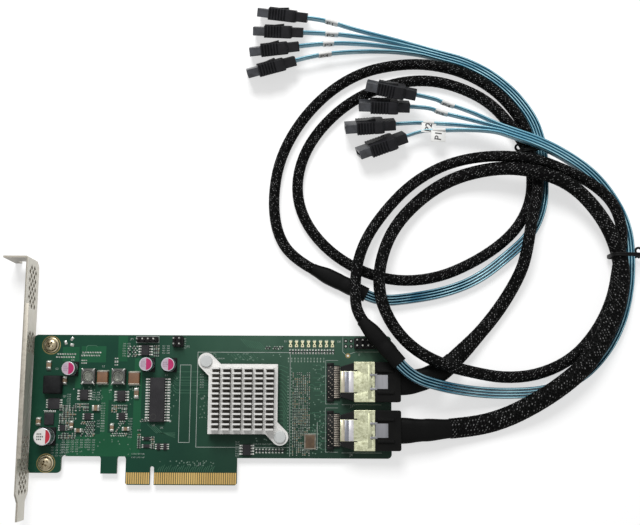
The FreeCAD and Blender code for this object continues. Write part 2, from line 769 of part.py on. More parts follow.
def chip_and_sink():
    """Controller chip, thermal pad, and the extruded sink that is cut across into columns of fins."""
    middle = (across(d.sink_across), up(d.sink_up))
    chip = body("controller_chip")
    pad(chip, square(sketch(chip, offset=board_top()), middle, d.chip_side), d.chip_base_thick)
    cap_floor = board_top() + d.chip_base_thick
    pad(chip, square(sketch(chip, offset=cap_floor), middle, d.chip_cap_side), d.chip_cap_thick)
    node(chip, "controller_chip")
    pad_floor = cap_floor + d.chip_cap_thick
    node(block("thermal_pad", (d.pad_side, d.pad_side, d.pad_thick),
               (middle[0] - d.pad_side / 2, middle[1] - d.pad_side / 2, pad_floor)), "thermal_pad")

    floor = pad_floor + d.pad_thick
    base_top = floor + d.sink_base_thick
    sink = body("heat_sink")
    pad(sink, square(sketch(sink, offset=floor), middle, d.sink_side), d.sink_base_thick)
    for ear in ear_places():
        pad(sink, circle(sketch(sink, offset=floor), ear, d.ear_radius), d.sink_base_thick)
        inward = 1 if num(ear[0]) < num(middle[0]) else -1
        near, far = d.ear_radius / math.sqrt(2), d.ear_radius * 2.2
        arm = sketch(sink, offset=floor)
        polygon(arm, [
            (ear[0] - near * inward, ear[1] - near * inward),
            (ear[0] + near * inward, ear[1] + near * inward),
            (ear[0] + (near + far) * inward, ear[1] + (near - far) * inward),
            (ear[0] + (far - near) * inward, ear[1] - (far + near) * inward),
        ])
        pad(sink, arm, d.sink_base_thick)
    comb_width = d.sink_column_pitch * (num(d.sink_column_count) - 1) + d.sink_column_length
    comb_length = d.sink_fin_pitch * (num(d.sink_fin_count) - 1) + d.sink_fin_thick
    comb = square(sketch(sink, offset=base_top), middle, (comb_width, comb_length))
    pad(sink, comb, d.sink_fin_height)
    fin_top = base_top + d.sink_fin_height
    left, front = middle[0] - comb_width / 2, middle[1] - comb_length / 2
    gap = sketch(sink, offset=fin_top)
    rectangle(gap, (left, front + d.sink_fin_thick), (left + comb_width, front + d.sink_fin_pitch))
    row_of(sink, pocket(sink, gap, d.sink_fin_height), gap, "V_Axis", d.sink_fin_pitch, d.sink_fin_count - 1)
    slot = sketch(sink, offset=fin_top)
    rectangle(slot, (left + d.sink_column_length, front), (left + d.sink_column_pitch, front + comb_length))
    slot_cut = pocket(sink, slot, d.sink_fin_height)
    row_of(sink, slot_cut, slot, "H_Axis", d.sink_column_pitch, d.sink_column_count - 1)
    holes = sketch(sink, offset=base_top)
    for ear in ear_places():
        circle(holes, ear, d.ear_hole_radius)
    pocket(sink, holes, d.sink_base_thick)
    node(sink, "heat_sink")

    group("sink_push_pins", [
        headed_pin("push_pin", ear, d.push_shank_radius, d.push_tip_height, base_top,
                   d.push_cap_radius, d.push_cap_thick) for ear in ear_places()
    ])


def port(side):
    """One port: a moulded housing with a mouth, a folded cage over it, and its row of terminals."""
    line = up(getattr(d, PORTS[side]))
    floor = board_top()
    back, front = across(d.port_back), across(d.port_front)
    half = d.housing_width / 2
    housing = body("port_housing_" + side)
    polygon_of_housing = polygon(sketch(housing, offset=floor), [
        (back, line - half + d.housing_chamfer), (across(d.cage_back), line - half), (front, line - half),
        (front, line + half), (across(d.cage_back), line + half), (back, line + half - d.housing_chamfer),
    ])
    pad(housing, polygon_of_housing, d.housing_height)
    mouth = sketch(housing, "YZ_Plane", front)
    rectangle(mouth, (line - d.cavity_width / 2, floor + d.cavity_floor),
              (line + d.cavity_width / 2, floor + d.cavity_floor + d.cavity_height))
    pocket(housing, mouth, d.cavity_depth)
    node(housing, "port_housing_" + side)

    cage = body("port_cage_" + side)
    top = floor + d.housing_height
    wide = d.cage_width / 2
    fold = polygon(sketch(cage, "YZ_Plane", across(d.cage_back)), [
        (line - wide, floor), (line - wide + d.cage_thick, floor), (line - wide + d.cage_thick, top),
        (line + wide - d.cage_thick, top), (line + wide - d.cage_thick, floor), (line + wide, floor),
        (line + wide, top + d.cage_thick), (line - wide, top + d.cage_thick),
    ])
    pad(cage, fold, d.port_front - d.cage_back)
    tongue_half = d.cage_tongue_width / 2
    tongue = sketch(cage, offset=top)
    rectangle(tongue, (back - d.cage_thick, line - tongue_half), (across(d.cage_back), line + tongue_half))
    pad(cage, tongue, d.cage_thick)
    turn_down = sketch(cage, offset=top - d.cage_tongue_drop)
    rectangle(turn_down, (back - d.cage_thick, line - tongue_half), (back, line + tongue_half))
    pad(cage, turn_down, d.cage_tongue_drop)
    windows = sketch(cage, offset=top + d.cage_thick)
    for sign in (-1, 1):
        at = line + d.cage_window_offset * sign
        square(windows, (front - d.cage_window_length * 2, at), (d.cage_window_length, d.cage_window_width))
        relief = line + (tongue_half + d.cage_relief_width / 2) * sign
        square(windows, (across(d.cage_back) + d.cage_window_length / 2, relief),
               (d.cage_window_length * 2, d.cage_relief_width))
    pocket(cage, windows, d.cage_thick)
    node(cage, "port_cage_" + side)


def port_terminals():
    """Flat tails in a row behind each housing, sloping down to the board."""
    tails = []
    back, floor = across(d.port_back), board_top()
    shoulder = back - d.terminal_shoulder
    for name in PORTS.values():
        first = up(getattr(d, name)) - d.terminal_pitch * ((num(d.terminal_count) - 1) / 2)
        for step in range(int(num(d.terminal_count))):
            tail = body("terminal")
            edge = first + d.terminal_pitch * step + d.terminal_width / 2
            outline = polygon(sketch(tail, "XZ_Plane", -edge), [
                (back, floor + d.terminal_rise), (back, floor + d.terminal_rise + d.terminal_thick),
                (shoulder, floor + d.terminal_thick), (back - d.terminal_length, floor + d.terminal_thick),
                (back - d.terminal_length, floor), (shoulder, floor),
            ])
            pad(tail, outline, d.terminal_width)
            tails.append(tail)
    group("port_terminals", tails)


def chips():
    floor = board_top() + d.chip_stand
    node(moulded("memory_chip", (across(d.memory_across), up(d.memory_up)), floor,
                 (d.memory_width, d.memory_length), d.memory_height, d.package_edge), "memory_chip")
    size = (d.small_chip_width, d.small_chip_length)
    group("small_chips", [moulded("small_chip", on_board(at), floor, size,
                                  d.small_chip_height, d.package_edge) for at in SMALL_CHIPS])
    group("power_packages", [moulded("power_package", on_board(at), board_top(), size,
                                     d.package_height, d.package_edge / 2) for at, size in PACKAGES])


def can_capacitors():
    """Drawn cans, each on a square base with two corners cut off."""
    cans, bases = [], []
    sizes = [(at, d.can_radius, d.can_height) for at in SMALL_CANS]
    sizes.append((BIG_CAN, d.big_can_radius, d.big_can_height))
    for at, radius, height in sizes:
        x, y = on_board(at)
        half = radius + d.can_base_margin
        base = body("can_base")
        polygon(sketch(base, offset=board_top()), [
            (x - half + d.can_base_chamfer, y - half), (x + half, y - half), (x + half, y + half),
            (x - half + d.can_base_chamfer, y + half), (x - half, y + half - d.can_base_chamfer),
            (x - half, y - half + d.can_base_chamfer),
        ])
        pad(base, base.Group[0], d.can_base_thick)
        bases.append(base)
        can = doc.addObject("Part::Cylinder", "can")
        bind(can, "Radius", radius)
        bind(can, "Height", height)
        place(can, (x, y, board_top() + d.can_base_thick))
        cans.append(can)
    group("capacitor_cans", cans)
    group("capacitor_bases", bases)


def coils_and_ceramics():
    node(moulded("filter_choke", on_board(CHOKE), board_top(), d.choke_side, d.choke_height, d.choke_edge),
         "filter_choke")
    frames, cores = [], []
    top = board_top() + d.coil_height
    for at in COILS:
        frame = body("coil_frame")
        plan = square(sketch(frame, offset=board_top()), on_board(at), (d.coil_width, d.coil_length))
        pad(frame, plan, d.coil_height)
        dress(frame, "Chamfer", d.choke_edge, upright)
        pocket(frame, circle(sketch(frame, offset=top), on_board(at), d.coil_well_radius), d.coil_well_depth)
        frames.append(frame)
        core = body("coil_core")
        outline = circle(sketch(core, offset=top - d.coil_well_depth), on_board(at), d.coil_core_radius)
        pad(core, outline, d.coil_core_height)
        cores.append(core)
    group("inductor_frames", frames)
    group("inductor_cores", cores)
    size = (d.ceramic_width, d.ceramic_length)
    group("ceramic_capacitors", [moulded("ceramic", on_board(at), board_top(), size, d.ceramic_height,
                                         d.package_edge) for at in CERAMICS])
    blocks = []
    for at, (width, length) in CHIP_CAPACITORS:
        x, y = on_board(at)
        blocks.append(block("chip_capacitor", (width, length, d.chip_capacitor_height),
                            (x - width / 2, y - length / 2, board_top())))
    group("chip_capacitors", blocks)


def small_pieces():
    """Oscillator, status lamps and the rows of chip resistors."""
    x, y = on_board(OSCILLATOR)
    width, length = d.oscillator_width, d.oscillator_length
    node(block("oscillator_case", (width, length, d.oscillator_height),
               (x - width / 2, y - length / 2, board_top())), "oscillator_case")
    lid = (width - d.oscillator_lid_margin * 2, length - d.oscillator_lid_margin * 2)
    node(moulded("oscillator_lid", (x, y), board_top() + d.oscillator_height, lid, d.oscillator_lid_height,
                 d.oscillator_lid_height / 3), "oscillator_lid")
    lamps = []
    for step in range(int(num(d.lamp_count))):
        x, y = on_board((d.lamp_pitch * step + FIRST_LAMP[0], FIRST_LAMP[1]))
        lamps.append(block("lamp", (d.lamp_width, d.lamp_length, d.lamp_height),
                           (x - d.lamp_width / 2, y - d.lamp_length / 2, board_top())))
    group("status_lamps", lamps)
    resistors = []
    size = (d.resistor_width, d.resistor_length, d.resistor_height)
    for (first_across, line), pitch, count in RESISTOR_ROWS:
        for index in range(count):
            x, y = on_board((first_across + pitch * index, line))
            resistors.append(block("resistor", size, (x - size[0] / 2, y - size[1] / 2, board_top())))
    group("chip_resistors", resistors)


def header_parts(header):
    """A header's plastic strip and the pins that stand out of it."""
    places = list(pin_places(header))
    margin = d.header_pitch / 2
    low, high = places[0], places[-1]
    strip = body("header_strip")
    outline = sketch(strip, offset=board_top())
    rectangle(outline, (low[0] - margin, low[1] - margin), (high[0] + margin, high[1] + margin))
    pad(strip, outline, d.header_height)
    dress(strip, "Chamfer", d.header_edge, upright)
    side = d.header_pin_side
    pins = [block("header_pin", (side, side, d.header_pin_length),
                  (x - side / 2, y - side / 2, board_top() + d.header_height)) for x, y in places]
    return strip, pins


def headers():
    strip, pins = header_parts(WIDE_HEADER)
    node(strip, "wide_header")
    group("wide_header_pins", pins)
    parts = [header_parts(header) for header in SMALL_HEADERS]
    group("small_headers", [strip for strip, _ in parts])
    group("small_header_pins", [pin for _, pins in parts for pin in pins])


# The cables

def runs_and_bends(route):
    """The straight runs and tangent arcs of a route: each arc is as large as its two runs allow."""
    points = [Vector(*point) for point in route]
    steps, radii = [], []
    here = points[0]
    for before, corner, after in zip(points, points[1:], points[2:]):
        into, out_of = corner - before, after - corner
        turn = into.getAngle(out_of)
        reach = ARC_SHARE * min(into.Length, out_of.Length)
        radius = reach / math.tan(turn / 2)
        into.normalize()
        out_of.normalize()
        start = corner - into * reach
        axis = into.cross(out_of)
        axis.normalize()
        steps.append(("run", start - here))
        steps.append(("bend", start + axis.cross(into) * radius, axis, math.degrees(turn), radius))
        radii.append(radius)
        here = corner + out_of * reach
    steps.append(("run", points[-1] - here))
    return steps, radii


def section_wire(route, outline, roll):
    """A section across the start of a route: its first axis is sideways, its second is up, less the roll."""
    start, after = Vector(*route[0]), Vector(*route[1])
    ahead = after - start
    ahead.normalize()
    level = ahead.cross(Vector(0, 0, 1))
    level.normalize()
    above = level.cross(ahead)
    sideways = level * math.cos(roll) + above * math.sin(roll)
    upward = above * math.cos(roll) - level * math.sin(roll)
    points = [start + sideways * x + upward * z for x, z in outline]
    return Part.makePolygon(points + points[:1])


def cord(name, route, outline, roll=0.0):
    """A closed solid along a route. Its section is carried along, so faces meet edge to edge."""
    wire = section_wire(route, outline, math.radians(roll))
    area = Part.Face(wire).Area
    faces = [Part.Face(wire)]
    steps, radii = runs_and_bends(route)
    length = 0.0
    for step in steps:
        if step[0] == "run":
            faces += wire.extrude(step[1]).Faces
            wire = wire.translated(step[1])
            length += step[1].Length
        else:
            _, centre, axis, degrees, radius = step
            faces += wire.revolve(centre, axis, degrees).Faces
            length += math.radians(degrees) * radius
            wire = wire.copy()
            wire.rotate(centre, axis, degrees)
    faces.append(Part.Face(wire))
    shell = Part.makeShell(faces)
    shell.sewShape()
    solid = Part.makeSolid(shell)
    if solid.Volume < 0:
        solid.reverse()
    share = solid.Volume / (area * length)
    tightest = f"{min(radii):.1f} mm" if radii else "none"
    print(f"{name}: length {length:.1f} mm, tightest radius {tightest}, volume by section {share:.4f}")
    return solid


def flat_section(width, height):
    """The corners of a cord's section, as sideways and up."""
    x, z = num(width) / 2, num(height) / 2
    return [(-x, -z), (x, -z), (x, z), (-x, z)]


def port_plug(side):
    """The plug in a port: a body with two rails and a nose in the housing's mouth, and its spring latch."""
    line = up(getattr(d, PORTS[side]))
    front = across(d.port_front + d.plug_gap)
    rear = front + d.plug_length - d.plug_gap
    floor = board_top() + d.plug_floor
    top = floor + d.plug_height
    half = d.plug_width / 2
    plug = body("port_plug_" + side)
    pad(plug, rectangle(sketch(plug, offset=floor), (front, line - half), (rear, line + half)), d.plug_height)
    back = num(rear)
    dress(plug, "Fillet", d.plug_corner, lambda at, tangent: upright(at, tangent) and abs(at.x - back) < 1e-3)
    nose = sketch(plug, "YZ_Plane", front)
    nose_floor = board_top() + d.plug_nose_floor
    rectangle(nose, (line - d.plug_nose_width / 2, nose_floor),
              (line + d.plug_nose_width / 2, nose_floor + d.plug_nose_height))
    pad(plug, nose, d.plug_nose_length, reverse=True)
    rails = sketch(plug, offset=top)
    for sign in (-1, 1):
        square(rails, (front + d.plug_rail_length / 2 + d.plug_rail_inset, line + d.plug_rail_offset * sign),
               (d.plug_rail_length, d.plug_rail_width))
    pad(plug, rails, d.plug_rail_height)
    node(plug, "port_plug_" + side)

    latch = body("plug_latch_" + side)
    plate = sketch(latch, offset=top)
    half_plate = d.latch_width / 2
    rectangle(plate, (front, line - half_plate), (front + d.latch_length, line + half_plate))
    pad(latch, plate, d.latch_thick)
    window = across(d.port_front) - d.cage_window_length * 2
    for sign in (-1, 1):
        at = line + d.cage_window_offset * sign - d.latch_arm_width * 0.5
        arm = sketch(latch, offset=top)
        rectangle(arm, (front - d.latch_arm_reach, at), (front + d.latch_arm_width, at + d.latch_arm_width))
        pad(latch, arm, d.latch_thick)
        hook = sketch(latch, offset=top)
        square(hook, (window, at + d.latch_arm_width / 2), (d.cage_window_length * 0.6, d.latch_arm_width))
        pad(latch, hook, d.latch_hook_drop, reverse=True)
    node(latch, "plug_latch_" + side)


def drive_seat(side, rear_x, rear_y, heading, foot):
    """Where a drive plug is: the middle of its back face, turned by its heading and its lean."""
    lean = math.radians(DRIVE_LEAN[side])
    rise = num(d.drive_height) / 2 * math.cos(lean) + num(d.drive_thick) / 2 * math.sin(lean)
    turn = Rotation(Vector(0, 0, 1), heading).multiply(Rotation(Vector(1, 0, 0), DRIVE_LEAN[side]))
    return Placement(Vector(rear_x, rear_y, foot + rise), turn)


def drive_plug(name, seat):
    """A drive plug that lies on its narrow edge: neck, grip with grooved edges, nose and hooked slot.

    The back face of its neck is at its own x = 0, and the nose points along -x.
    """
    plug = body(name)
    half = d.drive_thick / 2
    rear, front = -d.drive_neck_length, -d.drive_length
    top = d.drive_height
    upper_edge = [(rear, top - d.drive_shoulder), (rear - d.drive_shoulder, top)]
    lower_edge = [(rear, d.drive_shoulder), (rear - d.drive_shoulder, dim_of(0))]
    for groove in reversed(range(int(num(d.drive_groove_count)))):
        middle = front + d.drive_groove_inset + d.drive_groove_width / 2 + d.drive_groove_pitch * groove
        for step, depth in ((0.5, 0), (0, 1), (-0.5, 0)):
            x = middle + d.drive_groove_width * step
            upper_edge.append((x, top - d.drive_groove_depth * depth))
            lower_edge.append((x, d.drive_groove_depth * depth))
    corners = upper_edge + [(front, top), (front, dim_of(0))] + lower_edge[::-1]
    pad(plug, polygon(sketch(plug, "XZ_Plane", -half), corners), d.drive_thick)
    neck = sketch(plug, offset=(top - d.drive_neck_height) / 2)
    rectangle(neck, (rear, -d.drive_neck_thick / 2), (dim_of(0), d.drive_neck_thick / 2))
    pad(plug, neck, d.drive_neck_height)
    nose_floor = (d.drive_height - d.drive_nose_height) / 2
    nose = sketch(plug, offset=nose_floor)
    rectangle(nose, (front - d.drive_nose_length, -d.drive_nose_thick / 2), (front, d.drive_nose_thick / 2))
    pad(plug, nose, d.drive_nose_height)
    slot = sketch(plug, "YZ_Plane", front - d.drive_nose_length)
    low = (d.drive_height - d.drive_slot_height) / 2
    thick = d.drive_slot_thick / 2
    polygon(slot, [
        (-thick - d.drive_slot_hook * 0.5, low), (thick, low), (thick, low + d.drive_slot_height),
        (-thick, low + d.drive_slot_height), (-thick, low + d.drive_slot_hook),
        (-thick - d.drive_slot_hook * 0.5, low + d.drive_slot_hook),
    ])
    pocket(plug, slot, d.drive_slot_depth, reverse=True)
    latch = body("drive_latch")
    start = front + d.drive_latch_length
    flat = half + d.drive_latch_thick
    raised = flat + d.drive_latch_rise
    outline = sketch(latch, offset=(d.drive_height - d.drive_latch_width) / 2)
    polygon(outline, [
        (start, half), (start, raised), (start - d.drive_latch_thick, raised),
        (start - d.drive_latch_ramp, flat), (front, flat), (front, half),
    ])
    pad(latch, outline, d.drive_latch_width)
    for piece in (plug, latch):
        piece.Placement = seat.multiply(Placement(Vector(0, 0, -num(d.drive_height) / 2), Rotation()))
    return plug, latch


def cable(side, boot, sleeve, breakout, ribbons, fans, drives):
    """A port plug, the cord with its two boots, and the flat leads to four drive plugs."""
    port_plug(side)
    for kind, route, section in (
        ("plug_boot_", boot, flat_section(d.boot_width, d.boot_height)),
        ("braided_sleeve_", sleeve, flat_section(d.sleeve_width, d.sleeve_height)),
        ("breakout_boot_", breakout, flat_section(d.breakout_width, d.breakout_height)),
    ):
        shaped(kind + side, cord(kind + side, route, section))
    width = d.ribbon_pitch * (len(fans) - 1) + d.ribbon_thick
    bundle_section = flat_section(width, d.ribbon_height)
    leads = [cord("ribbon_bundle_" + side, ribbons, bundle_section, RIBBON_ROLL[side])]
    latches = []
    end, ahead = Vector(*ribbons[-1]), Vector(*ribbons[-1]) - Vector(*ribbons[-2])
    ahead.normalize()
    sideways = ahead.cross(Vector(0, 0, 1))
    sideways.normalize()
    lead_section = flat_section(d.ribbon_thick, d.ribbon_height)
    for index, (fan, drive) in enumerate(zip(fans, drives)):
        start = end + sideways * (num(d.ribbon_pitch) * ((len(fans) - 1) / 2 - index))
        seat = drive_seat(side, *drive)
        behind = seat.multVec(Vector(num(d.lead_run), 0, 0))
        route = [start, start + ahead * num(d.lead_run)] + fan + [behind, seat.Base]
        leads.append(cord(f"drive_lead_{side}_{index + 1}", route, lead_section))
        plug, latch = drive_plug(f"drive_plug_{side}_{index + 1}", seat)
        node(plug, f"drive_plug_{side}_{index + 1}")
        latches.append(latch)
    shaped("drive_leads_" + side, Part.makeCompound(leads))
    group("drive_latches_" + side, latches)


def cable_tie(side):
    """A flat band closed round the turns of a cable."""
    x, y, heading, width, top = TIES[side]
    tie = body("cable_tie_" + side)
    outline = sketch(tie, "YZ_Plane", -d.tie_band / 2)
    thick = d.tie_thick
    rectangle(outline, (dim_of(-width / 2) - thick, 0.0), (dim_of(width / 2) + thick, dim_of(top) + thick))
    pad(tie, outline, d.tie_band)
    inner = sketch(tie, "YZ_Plane", d.tie_band / 2)
    rectangle(inner, (-width / 2, thick), (width / 2, top))
    pocket(tie, inner, d.tie_band)
    tie.Placement = Placement(Vector(x, y, num(d.tie_gap)), Rotation(Vector(0, 0, 1), heading))
    node(tie, "cable_tie_" + side)


def main():
    circuit_board()
    edge_contacts()
    mounting_bracket()
    bracket_screws()
    chip_and_sink()
    for side in PORTS:
        port(side)
    port_terminals()
    chips()
    can_capacitors()
    coils_and_ceramics()
    small_pieces()
    headers()
    cable("upper", UPPER_BOOT, UPPER_SLEEVE, UPPER_BREAKOUT, UPPER_RIBBONS, UPPER_FANS, UPPER_DRIVES)
    cable("lower", LOWER_BOOT, LOWER_SLEEVE, LOWER_BREAKOUT, LOWER_RIBBONS, LOWER_FANS, LOWER_DRIVES)
    for side in TIES:
        cable_tie(side)
    doc.recompute()
    for thing in doc.Objects:
        if "Invalid" in thing.State or "Error" in thing.State:
            raise RuntimeError(f"{thing.Label} failed: {thing.State}")
    for thing in NODES:
        if thing.Shape.isNull() or not thing.Shape.isValid():
            raise RuntimeError(f"{thing.Label} has no valid shape")
    os.makedirs("parts", exist_ok=True)
    for thing in NODES:
        thing.Shape.exportStep(f"parts/{thing.Label}.step")
    print(len(NODES), "sub-parts written")


main()
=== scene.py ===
import math
import random

import bmesh
import bpy
from mathutils import Matrix, Vector


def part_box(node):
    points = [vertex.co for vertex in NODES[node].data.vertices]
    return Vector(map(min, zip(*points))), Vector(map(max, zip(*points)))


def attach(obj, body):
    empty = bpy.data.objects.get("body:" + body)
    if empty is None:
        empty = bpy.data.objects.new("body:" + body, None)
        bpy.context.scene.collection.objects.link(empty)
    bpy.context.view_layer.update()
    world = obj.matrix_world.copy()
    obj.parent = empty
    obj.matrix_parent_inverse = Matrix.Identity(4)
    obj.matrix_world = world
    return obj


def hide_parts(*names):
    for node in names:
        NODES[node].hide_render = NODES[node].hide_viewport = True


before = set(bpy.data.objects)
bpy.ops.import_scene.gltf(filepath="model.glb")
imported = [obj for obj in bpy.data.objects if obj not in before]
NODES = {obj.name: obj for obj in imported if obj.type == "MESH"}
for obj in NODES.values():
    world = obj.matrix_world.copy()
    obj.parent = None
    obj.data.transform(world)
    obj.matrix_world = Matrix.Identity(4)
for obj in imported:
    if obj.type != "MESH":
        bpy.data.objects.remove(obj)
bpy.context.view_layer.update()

# A storage adapter card on a pale table, with its two breakout cables. Sizes are in millimetres times MM.
MM = 0.001
SIDES = ("upper", "lower")
BOTH_WAYS = (-1, 1)
UPRIGHT = Vector((0.0, 0.0, 1.0))
board_low, board_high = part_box("circuit_board")


def on_board(across, up, height=0.0):
    """A place in millimetres from the board's left edge, the contacts' lower end and the upper face."""
    return Vector((board_low.x + across * MM, board_low.y + up * MM, board_high.z + height * MM))


def moved(x, y, z=0.0):
    """A shift in millimetres."""
    return Matrix.Translation(Vector((x, y, z)) * MM)


def spun(degrees):
    """A turn about the upright."""
    return Matrix.Rotation(math.radians(degrees), 4, "Z")


def at(across, up, height=0.0, degrees=0.0):
    """The frame of a piece that stands at a place on the board, turned about the upright."""
    return Matrix.Translation(on_board(across, up, height)) @ spun(degrees)


def in_scene(name, data):
    """A new object in the scene."""
    made = bpy.data.objects.new(name, data)
    bpy.context.scene.collection.objects.link(made)
    return made


# Meshes

# Angles in degrees: faces that turn by less are one flat face, and edges that turn by more are rounded off.
FLAT_UNDER, SHARP_OVER = 1.0, 25.0
WELD_REACH = 1e-6
# Least cosine at a line's corner, so that sharp corners stay short, and text size per height of a letter.
SHARPEST_MITRE, TEXT_SIZE = 0.4, 1.4


def cut_rectangle(width, length, cut):
    """Outline of a rectangle round its middle, with its corners cut off, in the unit of its sizes."""
    x, y = width / 2, length / 2
    if not cut:
        return [(-x, -y), (x, -y), (x, y), (-x, y)]
    return [(cut - x, -y), (x - cut, -y), (x, cut - y), (x, y - cut),
            (x - cut, y), (cut - x, y), (-x, y - cut), (-x, cut - y)]


def circle(around):
    """Places round a circle of radius one."""
    angles = [math.tau * step / around for step in range(around)]
    return [(math.cos(angle), math.sin(angle)) for angle in angles]


class Shape:
    """Corners and faces of one piece in metres, gathered before its mesh is made."""

    def __init__(self):
        self.corners = []
        self.faces = []
        self.finishes = []
        self.spreads = []

    def face(self, indices, finish=0, spread=None):
        self.faces.append(tuple(indices))
        self.finishes.append(finish)
        self.spreads.append(spread or [(0.0, 0.0)] * len(self.faces[-1]))

    def loft(self, rings, finish=0, ends=True, along=None):
        """A skin over closed rings. Along gives each ring's distance for the UV map."""
        count, first = len(rings[0]), len(self.corners)
        along = along or [float(step) for step in range(len(rings))]
        for ring in rings:
            self.corners += ring
        for step in range(len(rings) - 1):
            low, high = first + step * count, first + (step + 1) * count
            for side in range(count):
                after = (side + 1) % count
                turn, next_turn = side / count, (side + 1) / count
                spread = [(turn, along[step]), (next_turn, along[step]),
                          (next_turn, along[step + 1]), (turn, along[step + 1])]
                self.face((low + side, low + after, high + after, high + side), finish, spread)
        if ends:
            last = first + (len(rings) - 1) * count
            self.face(range(first + count - 1, first - 1, -1), finish)
            self.face(range(last, last + count), finish)

    def block(self, foot, size, edge=0.0, finish=0):
        """A block that stands on its foot, with its upright and upper edges taken off."""
        width, length, height = size
        levels = [(0.0, 0.0), (height - edge, 0.0), (height, edge)] if edge else [(0.0, 0.0), (height, 0.0)]
        rings = []
        for level, inset in levels:
            outline = cut_rectangle(width - 2 * inset, length - 2 * inset, edge)
            rings.append([foot @ (Vector((x, y, level)) * MM) for x, y in outline])
        self.loft(rings, finish)

    def turned(self, foot, profile, around=48, ends=True):
        """A turned piece. The profile gives radius and height in millimetres, from the foot up."""
        self.loft([[foot @ (Vector((radius * x, radius * y, height)) * MM) for x, y in circle(around)]
                   for radius, height in profile], 0, ends)

    def ring(self, foot, inner, outer, finish=0, around=24):
        """A flat ring that faces up, or a disc where the inner radius is nothing."""
        first = len(self.corners)
        for radius in (inner, outer):
            self.corners += [foot @ (Vector((x, y, 0.0)) * radius * MM) for x, y in circle(around)]
        for step in range(around):
            after = (step + 1) % around
            self.face((first + step, first + around + step, first + around + after, first + after), finish)

    def flat(self, corners, finish=0):
        """One flat face on corners that run anticlockwise."""
        first = len(self.corners)
        self.corners += corners
        self.face(range(first, len(self.corners)), finish)

    def strip(self, points, width, closed=False):
        """A flat line that faces up, of one width, along places in metres, with mitred corners."""
        ring = points + points[:1] if closed else points
        sides = []
        for index, here in enumerate(ring):
            before = ring[index - 1] if index else (points[-1] if closed else here)
            after = ring[index + 1] if index + 1 < len(ring) else (points[1] if closed else here)
            into = (here - before).to_2d()
            out_of = (after - here).to_2d()
            into = into.normalized() if into.length else out_of.normalized()
            out_of = out_of.normalized() if out_of.length else into
            lean = (into + out_of).normalized()
            reach = width * MM / 2 / max(SHARPEST_MITRE, lean.dot(into))
            sides.append(Vector((-lean.y, lean.x, 0.0)) * reach)
        first = len(self.corners)
        for here, side in zip(ring, sides):
            self.corners += [here + side, here - side]
        for step in range(len(ring) - 1):
            low = first + step * 2
            self.face((low + 1, low + 3, low + 2, low))

    def letters(self, words, foot, height, finish=0, bold=0.0):
        """Plain letters that lie flat, centred on their foot. Bold widens their strokes, in millimetres."""
        text = bpy.data.curves.new("letters", "FONT")
        text.body = words
        text.size = height * MM * TEXT_SIZE
        text.offset = bold * MM
        text.resolution_u = 2
        text.align_x = "CENTER"
        text.align_y = "CENTER"
        holder = bpy.data.objects.new("letters", text)
        mesh = bpy.data.meshes.new_from_object(holder)
        first = len(self.corners)
        self.corners += [foot @ corner.co for corner in mesh.vertices]
        for face in mesh.polygons:
            self.face([first + index for index in face.vertices], finish)
        bpy.data.objects.remove(holder)
        bpy.data.meshes.remove(mesh)


def bare_mesh(name, shape):
    """A mesh with a shape's corners and faces."""
    mesh = bpy.data.meshes.new(name)
    mesh.from_pydata([tuple(corner) for corner in shape.corners], [], shape.faces)
    return mesh


def dressed(mesh, finishes):
    """Gives a mesh its finishes, which are named in order with spaces between."""
    mesh.materials.clear()
    for finish in finishes.split():
        mesh.materials.append(FINISH[finish])
    return mesh


def piece(name, shape, finishes, replaces=(), smooth_under=40.0):
    """Makes a piece of the object from a shape. Edges that turn by less than the angle are smooth."""
    mesh = dressed(bare_mesh(name, shape), finishes)
    mesh.polygons.foreach_set("material_index", shape.finishes)
    spread = mesh.uv_layers.new(name="UVMap")
    spread.data.foreach_set("uv", [value for face in shape.spreads for corner in face for value in corner])
    return set_down(name, mesh, replaces, smooth_under)


def set_down(name, mesh, replaces=(), smooth_under=40.0):
    """Puts a finished mesh in the scene, on the card's one body."""
    mesh.shade_smooth()
    mesh.set_sharp_from_angle(angle=math.radians(smooth_under))
    made = in_scene(name, mesh)
    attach(made, "root")
    if replaces:
        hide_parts(*replaces)
    return made


def welded(node):
    """A CAD node's mesh with its corners joined and its flat faces whole."""
    made = bmesh.new()
    made.from_mesh(NODES[node].data)
    bmesh.ops.remove_doubles(made, verts=made.verts, dist=WELD_REACH)
    bmesh.ops.dissolve_limit(made, angle_limit=math.radians(FLAT_UNDER), verts=made.verts, edges=made.edges)
    return made


def separate_solids(made):
    """The corners of each separate solid in a mesh that is being worked on, in the mesh's own order."""
    made.verts.index_update()
    solids, left = [], set(made.verts)
    for start in made.verts:
        if start not in left:
            continue
        left.remove(start)
        found, edge = [], [start]
        while edge:
            here = edge.pop()
            found.append(here)
            near = {link.other_vert(here) for link in here.link_edges} & left
            left -= near
            edge += near
        solids.append(sorted(found, key=lambda corner: corner.index))
    return solids


def softened(node, width, finishes, name=None, keep=None):
    """A copy of a CAD node with its edges rounded off, or of the solids whose middle is to be kept."""
    name = name or node + "_soft"
    made = welded(node)
    for solid in separate_solids(made) if keep else []:
        if not keep(sum((corner.co for corner in solid), Vector()) / len(solid)):
            bmesh.ops.delete(made, geom=solid, context="VERTS")
    sharp_over = math.radians(SHARP_OVER)
    sharp = [edge for edge in made.edges if edge.is_manifold and edge.calc_face_angle() > sharp_over]
    bmesh.ops.bevel(made, geom=sharp, offset=width * MM, offset_type="OFFSET", segments=2, profile=0.5,
                    affect="EDGES", clamp_overlap=True)
    mesh = bpy.data.meshes.new(name)
    made.to_mesh(mesh)
    made.free()
    return set_down(name, dressed(mesh, finishes), [node], 22.0)


